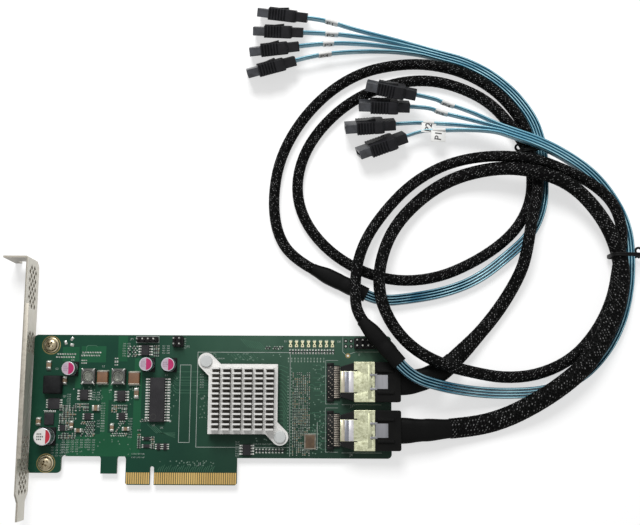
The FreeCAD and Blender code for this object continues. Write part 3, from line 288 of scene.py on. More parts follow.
def solids_of(node):
    """Lowest and highest corners of each separate solid in a CAD node."""
    made = welded(node)
    boxes = []
    for solid in separate_solids(made):
        low, high = ([pick(corner.co[axis] for corner in solid) for axis in range(3)] for pick in (min, max))
        boxes.append((Vector(low), Vector(high)))
    made.free()
    return sorted(boxes, key=lambda box: tuple(box[0]))


# Materials

# The heat sink's comb: left and front edges in millimetres, then its columns and fins.
COMB_LEFT, COMB_FRONT = 6.775, -19.1
COLUMN_PITCH, COLUMN_LENGTH, COLUMN_COUNT = 5.0, 3.65, 6
FIN_PITCH, FIN_THICK, FIN_COUNT = 2.3, 0.8, 13
# The braid of the sleeves: strands of each lay round a sleeve, and how many a metre of it passes.
BRAID_STRANDS, BRAID_CROSSINGS = 13, 640.0
GREY, WHITE = (0.5, 0.5, 0.5, 1.0), (1.0, 1.0, 1.0, 1.0)
EVEN = (1.0, 1.0, 1.0)
FINE_BUMP = 0.0001
MATT = 0.12
SURFACE = [("Colour", "Color"), ("Roughness", "Float"), ("Normal", "Vector")]


def seen(red, green, blue):
    """A colour as it is seen on a screen, from 0 to 255, in the shader's own scale."""
    def linear(value):
        value /= 255
        return value / 12.92 if value <= 0.04045 else ((value + 0.055) / 1.055) ** 2.4
    return (linear(red), linear(green), linear(blue), 1.0)


class Nodes:
    """Short calls that add and join the nodes of one tree."""

    def __init__(self, tree):
        self.tree = tree

    def add(self, kind, settings=None, **inputs):
        made = self.tree.nodes.new("ShaderNode" + kind)
        for key, value in (settings or {}).items():
            setattr(made, key, value)
        for key, value in inputs.items():
            self.feed(made.inputs[key.replace("_", " ")], value)
        return made

    def feed(self, socket, value):
        if isinstance(value, bpy.types.NodeSocket):
            self.tree.links.new(value, socket)
        else:
            socket.default_value = value

    def fed(self, made, *values):
        """Feeds a node's inputs in order, and gives what it makes of them."""
        for socket, value in zip(made.inputs, values):
            self.feed(socket, value)
        return made.outputs[0]

    def math(self, operation, first, second=0.0):
        return self.fed(self.add("Math", {"operation": operation}), first, second)

    def apart(self, value, middle):
        """How far a value is from a middle."""
        return self.math("ABSOLUTE", self.math("SUBTRACT", value, middle))

    def span(self, value, low, high, to_low=0.0, to_high=1.0):
        return self.fed(self.add("MapRange"), value, low, high, to_low, to_high)

    def stretched(self, place, shares):
        return self.fed(self.add("VectorMath", {"operation": "MULTIPLY"}), place, shares)

    def mix(self, share, first, second):
        made = self.add("Mix", {"data_type": "RGBA"})
        for index, value in ((0, share), (6, first), (7, second)):
            self.feed(made.inputs[index], value)
        return made.outputs[2]

    def parts(self, kind, output):
        """The three parts of a place or a direction that a node gives."""
        return self.add("SeparateXYZ", None, Vector=self.add(kind).outputs[output]).outputs

    def noise(self, place, scale, detail):
        return self.add("TexNoise", None, Vector=place, Scale=scale, Detail=detail).outputs[0]

    def bump(self, strength, distance, height):
        return self.add("Bump", None, Strength=strength, Distance=distance, Height=height).outputs[0]


def new_group(name, inputs, outputs):
    """An empty shader group with named sockets: its tree, its nodes, what it is given and what it gives."""
    tree = bpy.data.node_groups.new(name, "ShaderNodeTree")
    for socket, kind, value in inputs:
        made = tree.interface.new_socket(socket, in_out="INPUT", socket_type="NodeSocket" + kind)
        made.default_value = value
    for socket, kind in outputs:
        tree.interface.new_socket(socket, in_out="OUTPUT", socket_type="NodeSocket" + kind)
    given = tree.nodes.new("NodeGroupInput").outputs
    wanted = tree.nodes.new("NodeGroupOutput").inputs
    return tree, Nodes(tree), given, wanted


def give_surface(nodes, given, wanted, colour, height):
    """What a surface group gives: a colour, and a roughness and a normal that follow a height."""
    spread = nodes.math("MULTIPLY", nodes.math("SUBTRACT", height, 0.5), given["Spread"])
    nodes.feed(wanted["Colour"], colour)
    nodes.feed(wanted["Roughness"], nodes.math("ADD", given["Roughness"], spread))
    nodes.feed(wanted["Normal"], nodes.bump(given["Bump"], FINE_BUMP, height))


def grain_group():
    """Patches of a second colour, and a fine grain in the roughness and the normal."""
    tree, nodes, given, wanted = new_group("surface_grain", [
        ("Colour", "Color", GREY), ("Patch Colour", "Color", GREY), ("Roughness", "Float", 0.5),
        ("Patch Scale", "Float", 100.0), ("Grain Scale", "Float", 2000.0), ("Spread", "Float", 0.1),
        ("Bump", "Float", 0.1), ("Stretch", "Vector", EVEN),
    ], SURFACE)
    place = nodes.stretched(nodes.add("TexCoord").outputs["Object"], given["Stretch"])
    patch = nodes.span(nodes.noise(place, given["Patch Scale"], 3.0), 0.35, 0.65)
    colour = nodes.mix(patch, given["Colour"], given["Patch Colour"])
    give_surface(nodes, given, wanted, colour, nodes.noise(place, given["Grain Scale"], 2.0))
    return tree


def spangle_group():
    """Cells of two shades, as on plated sheet."""
    tree, nodes, given, wanted = new_group("plated_spangle", [
        ("Colour", "Color", GREY), ("Second Colour", "Color", GREY), ("Cell Scale", "Float", 1500.0),
        ("Roughness", "Float", 0.4), ("Spread", "Float", 0.2), ("Bump", "Float", 0.1),
    ], SURFACE)
    place = nodes.add("TexCoord").outputs["Object"]
    cells = nodes.add("TexVoronoi", None, Vector=place, Scale=given["Cell Scale"]).outputs["Color"]
    shade = nodes.add("SeparateColor", None, Color=cells).outputs[0]
    cloud = nodes.noise(place, nodes.math("MULTIPLY", given["Cell Scale"], 0.3), 4.0)
    shade = nodes.math("ADD", nodes.math("MULTIPLY", shade, 0.5), nodes.span(cloud, 0.3, 0.7, 0.0, 0.5))
    colour = nodes.mix(shade, given["Colour"], given["Second Colour"])
    give_surface(nodes, given, wanted, colour, shade)
    return tree


def braid_group():
    """A plain braid on a sleeve's UV map: strands that cross over and under, and light in some gaps."""
    tree, nodes, given, wanted = new_group("braided_strands", [
        ("Strands", "Float", 12.0), ("Crossings", "Float", 620.0), ("Gap", "Float", 0.55),
    ], [("Height", "Float"), ("Fleck", "Float")])
    dip, gap_edge, rarest_light = 0.4, 0.2, 0.45
    around, along, _ = nodes.parts("TexCoord", "UV")
    turn = nodes.math("MULTIPLY", around, given["Strands"])
    step = nodes.math("MULTIPLY", along, given["Crossings"])
    lays = [nodes.math(operation, turn, step) for operation in ("ADD", "SUBTRACT")]
    edges = [nodes.math("MULTIPLY", nodes.apart(nodes.math("FRACT", lay), 0.5), 2.0) for lay in lays]
    floors = [nodes.math("FLOOR", lay) for lay in lays]
    over = nodes.math("FLOORED_MODULO", nodes.math("ADD", *floors), 2.0)
    under = nodes.math("SUBTRACT", 1.0, over)
    crowns = []
    for edge, lower in zip(edges, (under, over)):
        crown = nodes.math("SUBTRACT", 1.0, nodes.math("MULTIPLY", edge, edge))
        crowns.append(nodes.math("SUBTRACT", crown, nodes.math("MULTIPLY", lower, dip)))
    nodes.feed(wanted["Height"], nodes.math("MAXIMUM", *crowns))
    corner = nodes.fed(nodes.add("CombineXYZ"), *(nodes.math("ROUND", lay) for lay in lays))
    chance = nodes.add("TexWhiteNoise", {"noise_dimensions": "2D"}, Vector=corner).outputs[0]
    bare = nodes.math("MINIMUM", edges[0], nodes.math("ADD", edges[1], gap_edge))
    open_gap = nodes.span(bare, given["Gap"], nodes.math("ADD", given["Gap"], gap_edge))
    nodes.feed(wanted["Fleck"], nodes.math("MULTIPLY", open_gap, nodes.span(chance, rarest_light, 1.0)))
    return tree


GRAIN = grain_group()
SPANGLE = spangle_group()
BRAID = braid_group()


def new_finish(name, metal=0.0, shine=0.5):
    """A material with the plain values of its shader set, its nodes and its shader."""
    made = bpy.data.materials.new(name)
    made.use_nodes = True
    shader = made.node_tree.nodes["Principled BSDF"]
    shader.inputs["Metallic"].default_value = metal
    shader.inputs["Specular IOR Level"].default_value = shine
    return made, Nodes(made.node_tree), shader


def coat(nodes, shader, *surface):
    """Feeds a shader with a colour, a roughness and a normal."""
    for socket, value in zip(("Base Color", "Roughness", "Normal"), surface):
        nodes.feed(shader.inputs[socket], value)


def placed_group(nodes, tree, *values):
    """A shared group in a finish, with its inputs set in order, and what it gives."""
    made = nodes.add("Group", {"node_tree": tree})
    nodes.fed(made, *values)
    return made.outputs


def grain(nodes, colour, patch, roughness, patch_scale=120.0, grain_scale=2500.0, spread=0.15, bump=0.15,
          stretch=EVEN):
    """The grain group in a finish."""
    return placed_group(nodes, GRAIN, seen(*colour), seen(*patch), roughness, patch_scale, grain_scale,
                        spread, bump, stretch)


def grained(name, *values, metal=0.0, shine=0.5, stretch=EVEN):
    """A finish with patches and a fine grain. Its values are those of the grain group."""
    made, nodes, shader = new_finish(name, metal, shine)
    coat(nodes, shader, *grain(nodes, *values, stretch=stretch))
    return made


def spangled(name, colour, second, cell_scale, roughness, metal):
    """A plated finish with cells of two shades."""
    made, nodes, shader = new_finish(name, metal)
    coat(nodes, shader, *placed_group(nodes, SPANGLE, seen(*colour), seen(*second), cell_scale, roughness,
                                      0.2, 0.12))
    return made


def laminate_finish():
    """Solder mask: green at the bracket, greyer and paler to the ports' upper end, straw at cut edges."""
    made, nodes, shader = new_finish("solder_mask", 0.0, MATT)
    bracket_end, port_low, port_high = [
        grain(nodes, colour, patch, 0.36, scale, 1400.0, 0.1, 0.04)
        for colour, patch, scale in (((20, 62, 47), (24, 68, 50), 60.0), ((26, 50, 39), (32, 58, 46), 70.0),
                                     ((56, 86, 71), (64, 94, 78), 70.0))]
    x, y, _ = nodes.parts("TexCoord", "Object")
    rise = nodes.span(y, board_low.y + 8 * MM, board_high.y)
    grey = nodes.mix(rise, port_low["Colour"], port_high["Colour"])
    green = nodes.mix(nodes.span(x, -0.03, 0.03), bracket_end["Colour"], grey)
    level = nodes.math("ABSOLUTE", nodes.parts("NewGeometry", "True Normal")[2])
    coat(nodes, shader, nodes.mix(nodes.span(level, 0.5, 0.4), green, seen(80, 96, 66)),
         bracket_end["Roughness"], bracket_end["Normal"])
    return made


def braid_finish():
    """Black strands, darker where they dip as painted shade, with pale flecks in the gaps."""
    made, nodes, shader = new_finish("black_braid", 0.0, 0.04)
    height, fleck = placed_group(nodes, BRAID, BRAID_STRANDS, BRAID_CROSSINGS, 0.62)
    # Painted shade: a strand is darker at its edges and where it dips under the other lay.
    strand_painted_shade = nodes.mix(nodes.span(height, 0.4, 1.0), seen(1, 1, 1), seen(13, 13, 13))
    coat(nodes, shader, nodes.mix(fleck, strand_painted_shade, seen(146, 146, 146)),
         nodes.span(height, 0.4, 1.0, 0.75, 0.5), nodes.bump(0.7, 0.0003, height))
    return made


def jacket_finish():
    """Clear blue jacket over foil: painted highlights on the top and the wires, deep at the boot, pale where
    leads part.
    """
    made, nodes, shader = new_finish("lead_jacket", 0.15, 0.3)
    deep, middle, bright = seen(12, 56, 76), seen(42, 108, 134), seen(172, 216, 226)
    around, along, _ = nodes.parts("TexCoord", "UV")
    streak = nodes.noise(nodes.stretched(nodes.add("TexCoord").outputs["UV"], (9.0, 60.0, 1.0)), 1.0, 2.0)
    # Painted light across each lead: the top lighter than the deep sides, with painted highlight lines along
    # the top and along its two wires.
    from_top = nodes.apart(nodes.apart(around, 0.5), 0.25)
    wander = nodes.math("ADD", from_top, nodes.span(streak, 0.3, 0.7, -0.03, 0.03))
    from_wire = nodes.apart(wander, 0.19)
    parted = nodes.span(along, 0.16, 0.24)
    middle_here = nodes.mix(parted, middle, seen(96, 160, 184))
    colour = nodes.mix(nodes.span(wander, 0.14, 0.04), nodes.mix(parted, deep, middle), middle_here)
    colour = nodes.mix(nodes.span(from_wire, 0.07, 0.03), colour, middle_here)
    colour = nodes.mix(nodes.span(nodes.math("MINIMUM", wander, from_wire), 0.035, 0.008), colour, bright)
    colour = nodes.mix(nodes.span(along, 0.06, 0.005, 0.0, 0.5), colour, deep)
    coat(nodes, shader, colour, nodes.span(streak, 0.3, 0.7, 0.25, 0.45), nodes.bump(0.2, 0.0002, streak))
    return made


def bracket_finish():
    """Zinc plate, with painted light that makes the face turned to the board brighter."""
    made, nodes, shader = new_finish("bracket_zinc", 0.4)
    colour, *rest = placed_group(nodes, SPANGLE, seen(144, 139, 128), seen(176, 170, 158), 900.0, 0.46,
                                 0.2, 0.25)
    # Painted light: faces turned to the board are mixed towards a much paler zinc, standing in for light on
    # that face.
    painted_light_face = nodes.parts("NewGeometry", "True Normal")[0]
    coat(nodes, shader, nodes.mix(nodes.span(painted_light_face, 0.5, 0.8), colour, seen(226, 222, 210)), *rest)
    return made


def sink_finish():
    """Bare aluminium with painted shade down in the gaps between the fins; the slots across them are left out
    and stay bright.
    """
    made, nodes, shader = new_finish("sink_aluminium", 0.2, 0.3)
    colour, *rest = grain(nodes, (226, 225, 222), (214, 213, 210), 0.45, 160.0, 2600.0,
                          stretch=(0.15, 1.0, 1.0))
    x, y, z = nodes.parts("TexCoord", "Object")
    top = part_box("heat_sink")[1].z
    column = nodes.math("MULTIPLY", nodes.math("SUBTRACT", x, COMB_LEFT * MM), 1 / (COLUMN_PITCH * MM))
    fin = nodes.math("MULTIPLY", nodes.math("SUBTRACT", y, COMB_FRONT * MM), 1 / (FIN_PITCH * MM))
    # Painted shade: below the fin tops, in the gaps between the fins but not in the slots across them, the
    # aluminium is darkened.
    deep = nodes.span(z, top - 0.4 * MM, top - 1.6 * MM)
    for operation, value, limit in (
            ("LESS_THAN", nodes.math("FRACT", column), COLUMN_LENGTH / COLUMN_PITCH + 0.004),
            ("GREATER_THAN", nodes.math("FRACT", fin), FIN_THICK / FIN_PITCH - 0.03),
            ("LESS_THAN", fin, FIN_COUNT - 1.0), ("GREATER_THAN", fin, 0.0),
            ("LESS_THAN", column, COLUMN_COUNT - 0.2), ("GREATER_THAN", column, 0.0)):
        deep = nodes.math("MULTIPLY", deep, nodes.math(operation, value, limit))
    coat(nodes, shader, nodes.mix(deep, colour, seen(92, 88, 82)), *rest)
    return made


# Plain rows: name, two colours as seen, roughness, scales of patch and grain, spread of roughness and bump.
FINISH = {
    "mask": laminate_finish(),
    "pour": grained("masked_copper", (28, 82, 55), (32, 88, 60), 0.34, 70.0, 1500.0, 0.1, 0.04, shine=MATT),
    "trace": grained("masked_trace", (62, 100, 80), (74, 112, 92), 0.34, 200.0, 1500.0, 0.1, 0.04,
                     shine=MATT),
    "silk": grained("screen_ink", (176, 184, 178), (150, 160, 154), 0.7, 300.0, 4000.0),
    "gold": grained("gold_plate", (206, 174, 110), (182, 150, 92), 0.34, 150.0, 2500.0,
                    stretch=(1.0, 0.08, 1.0), metal=1.0),
    "via": grained("via_solder", (118, 140, 126), (96, 120, 106), 0.4, 900.0, 3000.0, metal=0.3),
    "dimple": grained("moulded_dimple", (58, 58, 57), (66, 66, 65), 0.6, 300.0, shine=0.15),
    "faded": grained("can_faded_ink", (150, 130, 146), (138, 118, 134), 0.5, 500.0),
    # Painted light and shade of the port tongue's bend: a lit warm band, a shaded blue-grey band and a lit
    # pale band, three copies of one plate.
    "warm": grained("tongue_lit_band_warm", (196, 188, 168), (178, 170, 150), 0.4, 300.0, 2500.0, metal=0.4),
    "steel_blue": grained("tongue_shaded_band", (140, 142, 150), (122, 124, 132), 0.4, 300.0, metal=0.3),
    "pale": grained("tongue_lit_band_pale", (214, 212, 214), (198, 196, 200), 0.4, 300.0, metal=0.3),
    # The cage's bent band and hooks: a second copy of the cage plate, partly its plating and partly painted
    # shade of the bend.
    "cage_fold": spangled("cage_fold", (158, 160, 130), (186, 188, 160), 1300.0, 0.5, 0.5),
    "lead": grained("lead_solder", (216, 216, 210), (178, 178, 174), 0.36, 900.0, 3000.0, metal=0.5),
    "tin": grained("bright_solder", (176, 176, 170), (128, 130, 126), 0.34, 900.0, 3000.0, metal=0.9),
    "dull": grained("dull_solder", (132, 144, 134), (104, 120, 108), 0.45, 900.0, 3000.0, metal=0.4),
    "terminal": grained("terminal_plate", (142, 134, 122), (112, 106, 98), 0.4, 600.0, 3000.0, metal=0.5),
    "bracket": bracket_finish(),
    "screw": grained("screw_nickel", (178, 168, 144), (128, 116, 92), 0.26, 400.0, 3000.0, metal=1.0),
    "ring": grained("plated_ring", (150, 132, 88), (116, 102, 66), 0.34, 500.0, 3000.0, metal=0.9),
    "sink": sink_finish(),
    "push": grained("push_pin_nylon", (206, 209, 208), (196, 199, 198), 0.5),
    "pad": grained("thermal_pad_grey", (150, 154, 160), (138, 142, 148), 0.8),
    "chip": grained("chip_resin", (44, 43, 45), (53, 52, 54), 0.55, 200.0, 3500.0, 0.2, 0.3, shine=MATT),
    "housing": grained("port_nylon", (16, 16, 17), (24, 24, 24), 0.5, 150.0, 3000.0, shine=MATT),
    "cage": spangled("cage_tin_plate", (152, 153, 122), (204, 206, 178), 1900.0, 0.36, 0.9),
    "can": grained("can_aluminium", (205, 205, 210), (184, 184, 190), 0.3, 200.0, 3000.0,
                   stretch=(1.0, 1.0, 0.1), metal=1.0),
    "lilac": grained("can_lilac_ink", (190, 172, 185), (178, 160, 175), 0.45, 500.0),
    "magenta": grained("can_magenta_ink", (182, 12, 96), (164, 8, 84), 0.45, 500.0),
    "white": grained("can_white_ink", (232, 230, 226), (222, 220, 216), 0.45, 500.0),
    "red": grained("can_red_ink", (186, 24, 48), (168, 18, 40), 0.45, 500.0),
    "choke": grained("choke_resin", (18, 19, 20), (30, 31, 32), 0.6, 300.0, 2500.0, 0.2, 0.4, shine=MATT),
    "ferrite": grained("ferrite", (88, 88, 84), (68, 68, 66), 0.5, 250.0, 2500.0, 0.2, 0.3),
    "core": grained("core_lacquer", (134, 136, 126), (90, 92, 87), 0.22, 500.0, metal=0.6),
    "brown": grained("ceramic_brown", (122, 86, 58), (108, 76, 52), 0.5, 300.0),
    "faint": grained("ceramic_grey", (118, 108, 94), (96, 88, 76), 0.5, 500.0),
    "tan": grained("ceramic_tan", (134, 112, 86), (108, 88, 66), 0.5, 500.0),
    "black": grained("resistor_glaze", (30, 31, 33), (40, 41, 43), 0.4, 500.0, shine=0.4),
    "lamp": grained("lamp_resin", (226, 222, 176), (240, 238, 204), 0.3, 600.0),
    "dark": grained("dark_mark", (20, 20, 18), (30, 30, 28), 0.6, 600.0, shine=0.2),
    "crystal": grained("crystal_lid", (92, 74, 54), (74, 58, 42), 0.4, 500.0, metal=0.4),
    "plug": grained("plug_nylon", (9, 9, 9), (16, 16, 15), 0.5, 180.0, 2800.0, 0.2, 0.2, shine=0.07),
    "drive": grained("drive_plug_nylon", (23, 23, 25), (33, 33, 36), 0.5, 220.0, 2800.0, 0.2, 0.2,
                     shine=0.15),
    # The nose: a paler copy of the plug's black nylon, a painted reflection on its glossy face.
    "nose": grained("nose_nylon_painted_sheen", (46, 47, 50), (72, 74, 79), 0.32, 300.0, 2800.0, 0.2, 0.2, shine=0.35),
    "tab": grained("press_tab_steel", (152, 152, 156), (118, 119, 123), 0.35, 250.0, 2500.0,
                   stretch=(1.0, 0.1, 1.0), metal=0.85),
    "latch": grained("latch_black", (18, 18, 19), (30, 30, 32), 0.38, 300.0, shine=0.25),
    "shrink": grained("shrink_tube", (6, 6, 6), (11, 11, 11), 0.5, 90.0, 900.0, 0.2, 0.25, shine=0.06),
    "braid": braid_finish(),
    "jacket": jacket_finish(),
    "paper": grained("label_paper", (240, 240, 238), (230, 230, 228), 0.7, 300.0),
    "ink": grained("label_ink", (24, 24, 26), (36, 36, 38), 0.6, 300.0),
    "tie": grained("tie_nylon", (8, 8, 8), (14, 14, 14), 0.45, 200.0, shine=0.1),
}


# Camera, floor and light. The table's reach and the window are in metres, the other sizes in millimetres.

CAMERA_PLACE, CAMERA_TURN = (57.76, -12.10, 455.67), (9.02, 0.14, 0.26)
SENSOR_WIDTH, LENS_LENGTH = 36.0, 54.06
TABLE_REACH, TABLE_DROP, TABLE_GLOW = 4.0, 0.05, 0.62
WINDOW_PLACE, WINDOW_AIM = Vector((-0.05, 0.55, 0.72)), Vector((0.06, 0.05, 0.0))
WINDOW_SIZE, WINDOW_POWER = 0.35, 6.2
ROOM_LIGHT = 0.3


def camera():
    lens = bpy.data.cameras.new("camera")
    lens.sensor_width = SENSOR_WIDTH
    lens.lens = LENS_LENGTH
    made = in_scene("camera", lens)
    made.location = Vector(CAMERA_PLACE) * MM
    made.rotation_euler = [math.radians(angle) for angle in CAMERA_TURN]
    bpy.context.scene.camera = made


def seen_rays(nodes):
    """One for rays from the camera, a gloss or a clear body, and nothing for light that falls on things."""
    path = nodes.add("LightPath").outputs
    first = nodes.math("MAXIMUM", path["Is Camera Ray"], path["Is Glossy Ray"])
    return nodes.math("MAXIMUM", first, path["Is Transmission Ray"])


def floor():
    """A pale table that is white to the eye and still takes the object's shadow."""
    made, nodes, shader = new_finish("pale_table", 0.0, 0.0)
    shader.inputs["Roughness"].default_value = 0.9
    shader.inputs["Emission Color"].default_value = WHITE
    cloud = nodes.add("TexNoise", None, Scale=30.0).outputs[0]
    greys = [(level, level, level, 1.0) for level in (0.49, 0.51)]
    nodes.feed(shader.inputs["Base Color"], nodes.mix(cloud, *greys))
    nodes.feed(shader.inputs["Emission Strength"], nodes.math("MULTIPLY", seen_rays(nodes), TABLE_GLOW))
    mesh = bpy.data.meshes.new("table")
    outline = cut_rectangle(2 * TABLE_REACH, 2 * TABLE_REACH, 0)
    mesh.from_pydata([(x, y, 0) for x, y in outline], [], [(0, 1, 2, 3)])
    mesh.materials.append(made)
    table = in_scene("table", mesh)
    table.location.z = -TABLE_DROP * MM


def light():
    """A white room that sheds less light than it shows, and one soft lamp beyond the board's upper edge."""
    world = bpy.data.worlds.new("white_room")
    bpy.context.scene.world = world
    world.use_nodes = True
    nodes = Nodes(world.node_tree)
    background = world.node_tree.nodes["Background"]
    background.inputs["Color"].default_value = WHITE
    nodes.feed(background.inputs["Strength"], nodes.span(seen_rays(nodes), 0.0, 1.0, ROOM_LIGHT, 1.0))
    lamp = bpy.data.lights.new("window", "AREA")
    lamp.shape = "RECTANGLE"
    lamp.size = WINDOW_SIZE
    lamp.size_y = WINDOW_SIZE
    lamp.energy = WINDOW_POWER
    made = in_scene("window", lamp)
    made.location = WINDOW_PLACE
    made.rotation_euler = (WINDOW_AIM - WINDOW_PLACE).to_track_quat("-Z", "Y").to_euler()


bpy.context.scene.view_settings.view_transform = "Standard"
camera()
floor()
light()


# Cables: their routes, as the points that they bend round, in millimetres

BOOT_ROUTE = {
    "upper": [(93.8, 3.0, 8.0), (108.0, 3.0, 8.0), (118.5, 13.0, 6.0)],
    "lower": [(93.8, -19.0, 8.0), (104.0, -19.0, 8.0), (116.5, -18.0, 5.8)],
}
SLEEVE_ROUTE = {
    "upper": [
        (118.5, 13.0, 6.0), (129.0, 23.0, 4.0), (142.0, 38.5, 3.4), (151.5, 55.0, 6.6),
        (154.2, 66.5, 9.9), (156.6, 80.0, 9.2), (160.2, 92.0, 7.8), (160.2, 104.5, 8.6),
        (155.0, 115.6, 8.2), (149.0, 127.5, 4.0), (138.5, 140.0, 3.2), (122.5, 148.0, 3.1),
        (107.0, 151.0, 3.1), (89.5, 148.5, 3.1), (71.0, 140.0, 3.1), (56.0, 126.0, 3.1), (47.0, 110.5, 3.1),
        (44.5, 93.5, 3.1), (49.5, 78.0, 3.1), (61.0, 64.5, 3.1), (76.5, 55.0, 3.1),
        (93.5, 50.6, 3.1), (112.0, 52.4, 3.1), (128.5, 59.4, 3.1), (143.0, 68.8, 3.0),
        (152.8, 79.2, 2.9), (158.2, 92.0, 2.9), (158.6, 106.0, 2.9), (158.6, 118.5, 3.0),
        (153.8, 131.5, 3.1), (142.5, 145.5, 3.1), (126.5, 155.0, 3.1), (109.0, 159.0, 3.1),
        (93.0, 158.5, 3.1), (76.0, 154.5, 3.1), (60.0, 144.5, 3.1), (46.0, 129.0, 3.1),
        (36.5, 110.5, 3.1), (33.5, 91.0, 3.1), (35.5, 74.0, 3.1), (43.0, 62.0, 3.1),
        (53.0, 56.5, 3.1),
    ],
    "lower": [
        (116.5, -18.0, 5.8), (129.0, -17.0, 3.6), (143.0, -13.0, 4.4), (156.0, -6.2, 8.2),
        (168.0, 1.5, 9.4), (179.5, 11.0, 9.6), (189.0, 25.0, 9.4), (196.2, 41.5, 9.2),
        (198.6, 57.5, 9.2), (194.2, 72.8, 9.6), (186.2, 85.8, 10.4), (175.8, 95.8, 12.0),
        (162.8, 101.0, 14.4), (148.0, 103.9, 14.0), (134.0, 103.8, 9.6), (118.5, 100.0, 5.2),
        (104.0, 90.5, 4.6), (91.0, 76.0, 6.8), (84.4, 59.0, 10.0), (83.8, 43.5, 10.8),
        (89.3, 29.6, 12.0), (98.3, 18.8, 13.8), (111.0, 11.4, 14.0), (127.0, 7.5, 11.0),
        (143.0, 5.2, 5.0), (159.5, 7.0, 3.2), (175.5, 14.6, 3.1), (187.5, 28.0, 3.1),
        (195.2, 43.5, 3.1), (198.4, 60.0, 3.1), (200.2, 73.5, 7.4), (197.0, 87.0, 7.8),
        (187.8, 96.6, 8.4), (173.2, 103.2, 11.6), (158.0, 108.0, 14.8), (141.5, 109.8, 13.8),
        (126.5, 109.6, 8.6), (113.0, 106.0, 5.0), (99.5, 97.5, 4.4), (88.5, 86.0, 5.0),
        (78.8, 72.2, 7.8), (73.7, 58.8, 10.2), (72.6, 45.0, 12.0), (73.432, 33.609, 15.299),
        (79.0, 27.2, 15.7),
    ],
}
BREAKOUT_ROUTE = {
    "upper": [(53.0, 56.5, 3.1), (78.4, 44.2, 3.1)],
    "lower": [(75.7, 30.97, 15.46), (79.0, 27.2, 15.7), (92.9, 11.2, 16.7)],
}
RIBBON_ROUTE = {
    "upper": [
        (78.4, 44.2, 3.1), (84.7, 41.15, 3.1), (100.0, 42.8, 2.5), (116.0, 45.8, 2.4),
        (131.5, 51.9, 2.4), (145.8, 63.0, 2.4), (157.4, 73.6, 2.4), (163.6, 88.0, 2.4),
        (164.0, 104.0, 2.4), (163.8, 118.5, 2.4), (159.0, 133.4, 2.4), (145.8, 149.2, 2.4),
        (129.5, 159.2, 2.4), (113.5, 163.6, 2.6),
    ],
    "lower": [
        (92.9, 11.2, 16.7), (98.14, 5.168, 17.077), (112.0, 1.0, 14.0), (127.5, -1.2, 7.7),
        (143.0, -1.9, 3.2), (161.0, -1.0, 2.4), (177.5, 4.6, 2.4), (189.5, 16.0, 2.4),
        (198.0, 30.0, 2.4), (202.8, 47.0, 2.4), (204.2, 64.0, 2.4), (203.0, 79.0, 2.4),
        (196.0, 93.2, 2.6), (186.0, 103.4, 6.2), (173.0, 110.6, 11.0), (160.0, 116.4, 13.6),
        (148.5, 120.6, 13.2),
    ],
}
FAN_ROUTES = {
    "upper": [
        [(90.0, 171.2, 5.4), (72.0, 175.4, 6.6)], [(88.0, 170.0, 5.4), (68.0, 172.4, 6.9)],
        [(88.0, 167.5, 5.2), (66.5, 168.3, 6.9)], [(88.0, 164.9, 5.0), (66.0, 163.4, 6.9)],
    ],
    "lower": [
        [(127.5, 131.9, 12.6), (114.5, 135.9, 13.4)], [(126.0, 128.6, 11.2), (114.0, 132.0, 10.0)],
        [(124.0, 125.8, 10.0), (107.5, 127.4, 7.8)], [(125.0, 123.4, 10.0), (111.0, 123.4, 7.8)],
    ],
}
# Drive plugs: middle of the back face along X and Y, heading of the back in degrees, height of the foot.
DRIVES = {
    "upper": [
        (49.6, 180.8, -7.0, 0.0), (47.6, 173.2, -2.0, 0.0),
        (45.6, 166.2, 7.0, 0.0), (43.8, 158.8, 16.0, 0.0),
    ],
    "lower": [
        (102.0, 139.4, -11.5, 6.5), (99.0, 134.6, -1.5, 3.2),
        (92.3, 126.9, 4.5, 0.0), (97.2, 120.7, 20.5, 0.0),
    ],
}
DRIVE_LEAN = {"upper": 24.0, "lower": 28.0}
# Their height and thickness, and how far from the back the nose starts.
DRIVE_HEIGHT, DRIVE_THICK, DRIVE_NOSE = 14.0, 5.8, 18.8
# Widths of each sleeve, and their heights, at distances from its boot.
SLEEVE_SIZES = {
    "upper": [(0, 8.0, 5.4), (22, 6.2, 5.4), (80, 5.2, 5.4), (380, 5.0, 5.5), (700, 5.0, 5.7)],
    "lower": [
        (0, 9.2, 5.2), (100, 8.4, 5.2), (150, 6.6, 5.2),
        (320, 5.4, 5.6), (520, 5.0, 5.5), (700, 5.0, 5.7),
    ],
}
# Flat leads: thickness, height on edge and pitch in the bundle, and the straight run at both ends of the fan.
LEAD_COUNT = 4
LEAD_THICK, LEAD_HEIGHT, LEAD_PITCH, LEAD_RUN = 1.25, 4.6, 1.3, 9.0
LABEL_LONG = 7.0
# Labels of the leads: distance of the middle from the plug, the words, and how far a flag stands out.
LABELS = {
    "upper": [(12.4, "P1", 0), (14.0, "P2", 0), (14.4, "P3", 0), (14.8, "P4", 0)],
    "lower": [(15.5, "P4", 0), (15.6, "P3", 0), (16.3, "P2", 5.2), (17.0, "P1", 6.0)],
}
# Wire ties round the turns: place, way of the cables in degrees, width and top of the loop.
WIRE_TIES = {"upper": (159.4, 114.0, 94.0, 14.8, 11.4), "lower": (200.3, 63.0, 90.0, 13.6, 12.6)}
WIRE_RADIUS = 0.55
# Boots: sizes at shares of their length, and where they crease.
BOOT_SIZES, BOOT_CREASES = [(0.0, 11.9, 5.6), (0.5, 10.4, 5.8), (1.0, 8.8, 5.8)], (0.3, 0.42)
BREAKOUT_SIZES = [(0.0, 5.4, 5.8), (0.3, 7.6, 6.0), (0.72, 7.6, 6.0), (0.8, 7.0, 5.8), (1.0, 6.9, 5.6)]
BREAKOUT_CREASES = (0.55,)
CREASE_DEPTH, CREASE_TIGHTNESS = 0.25, 16
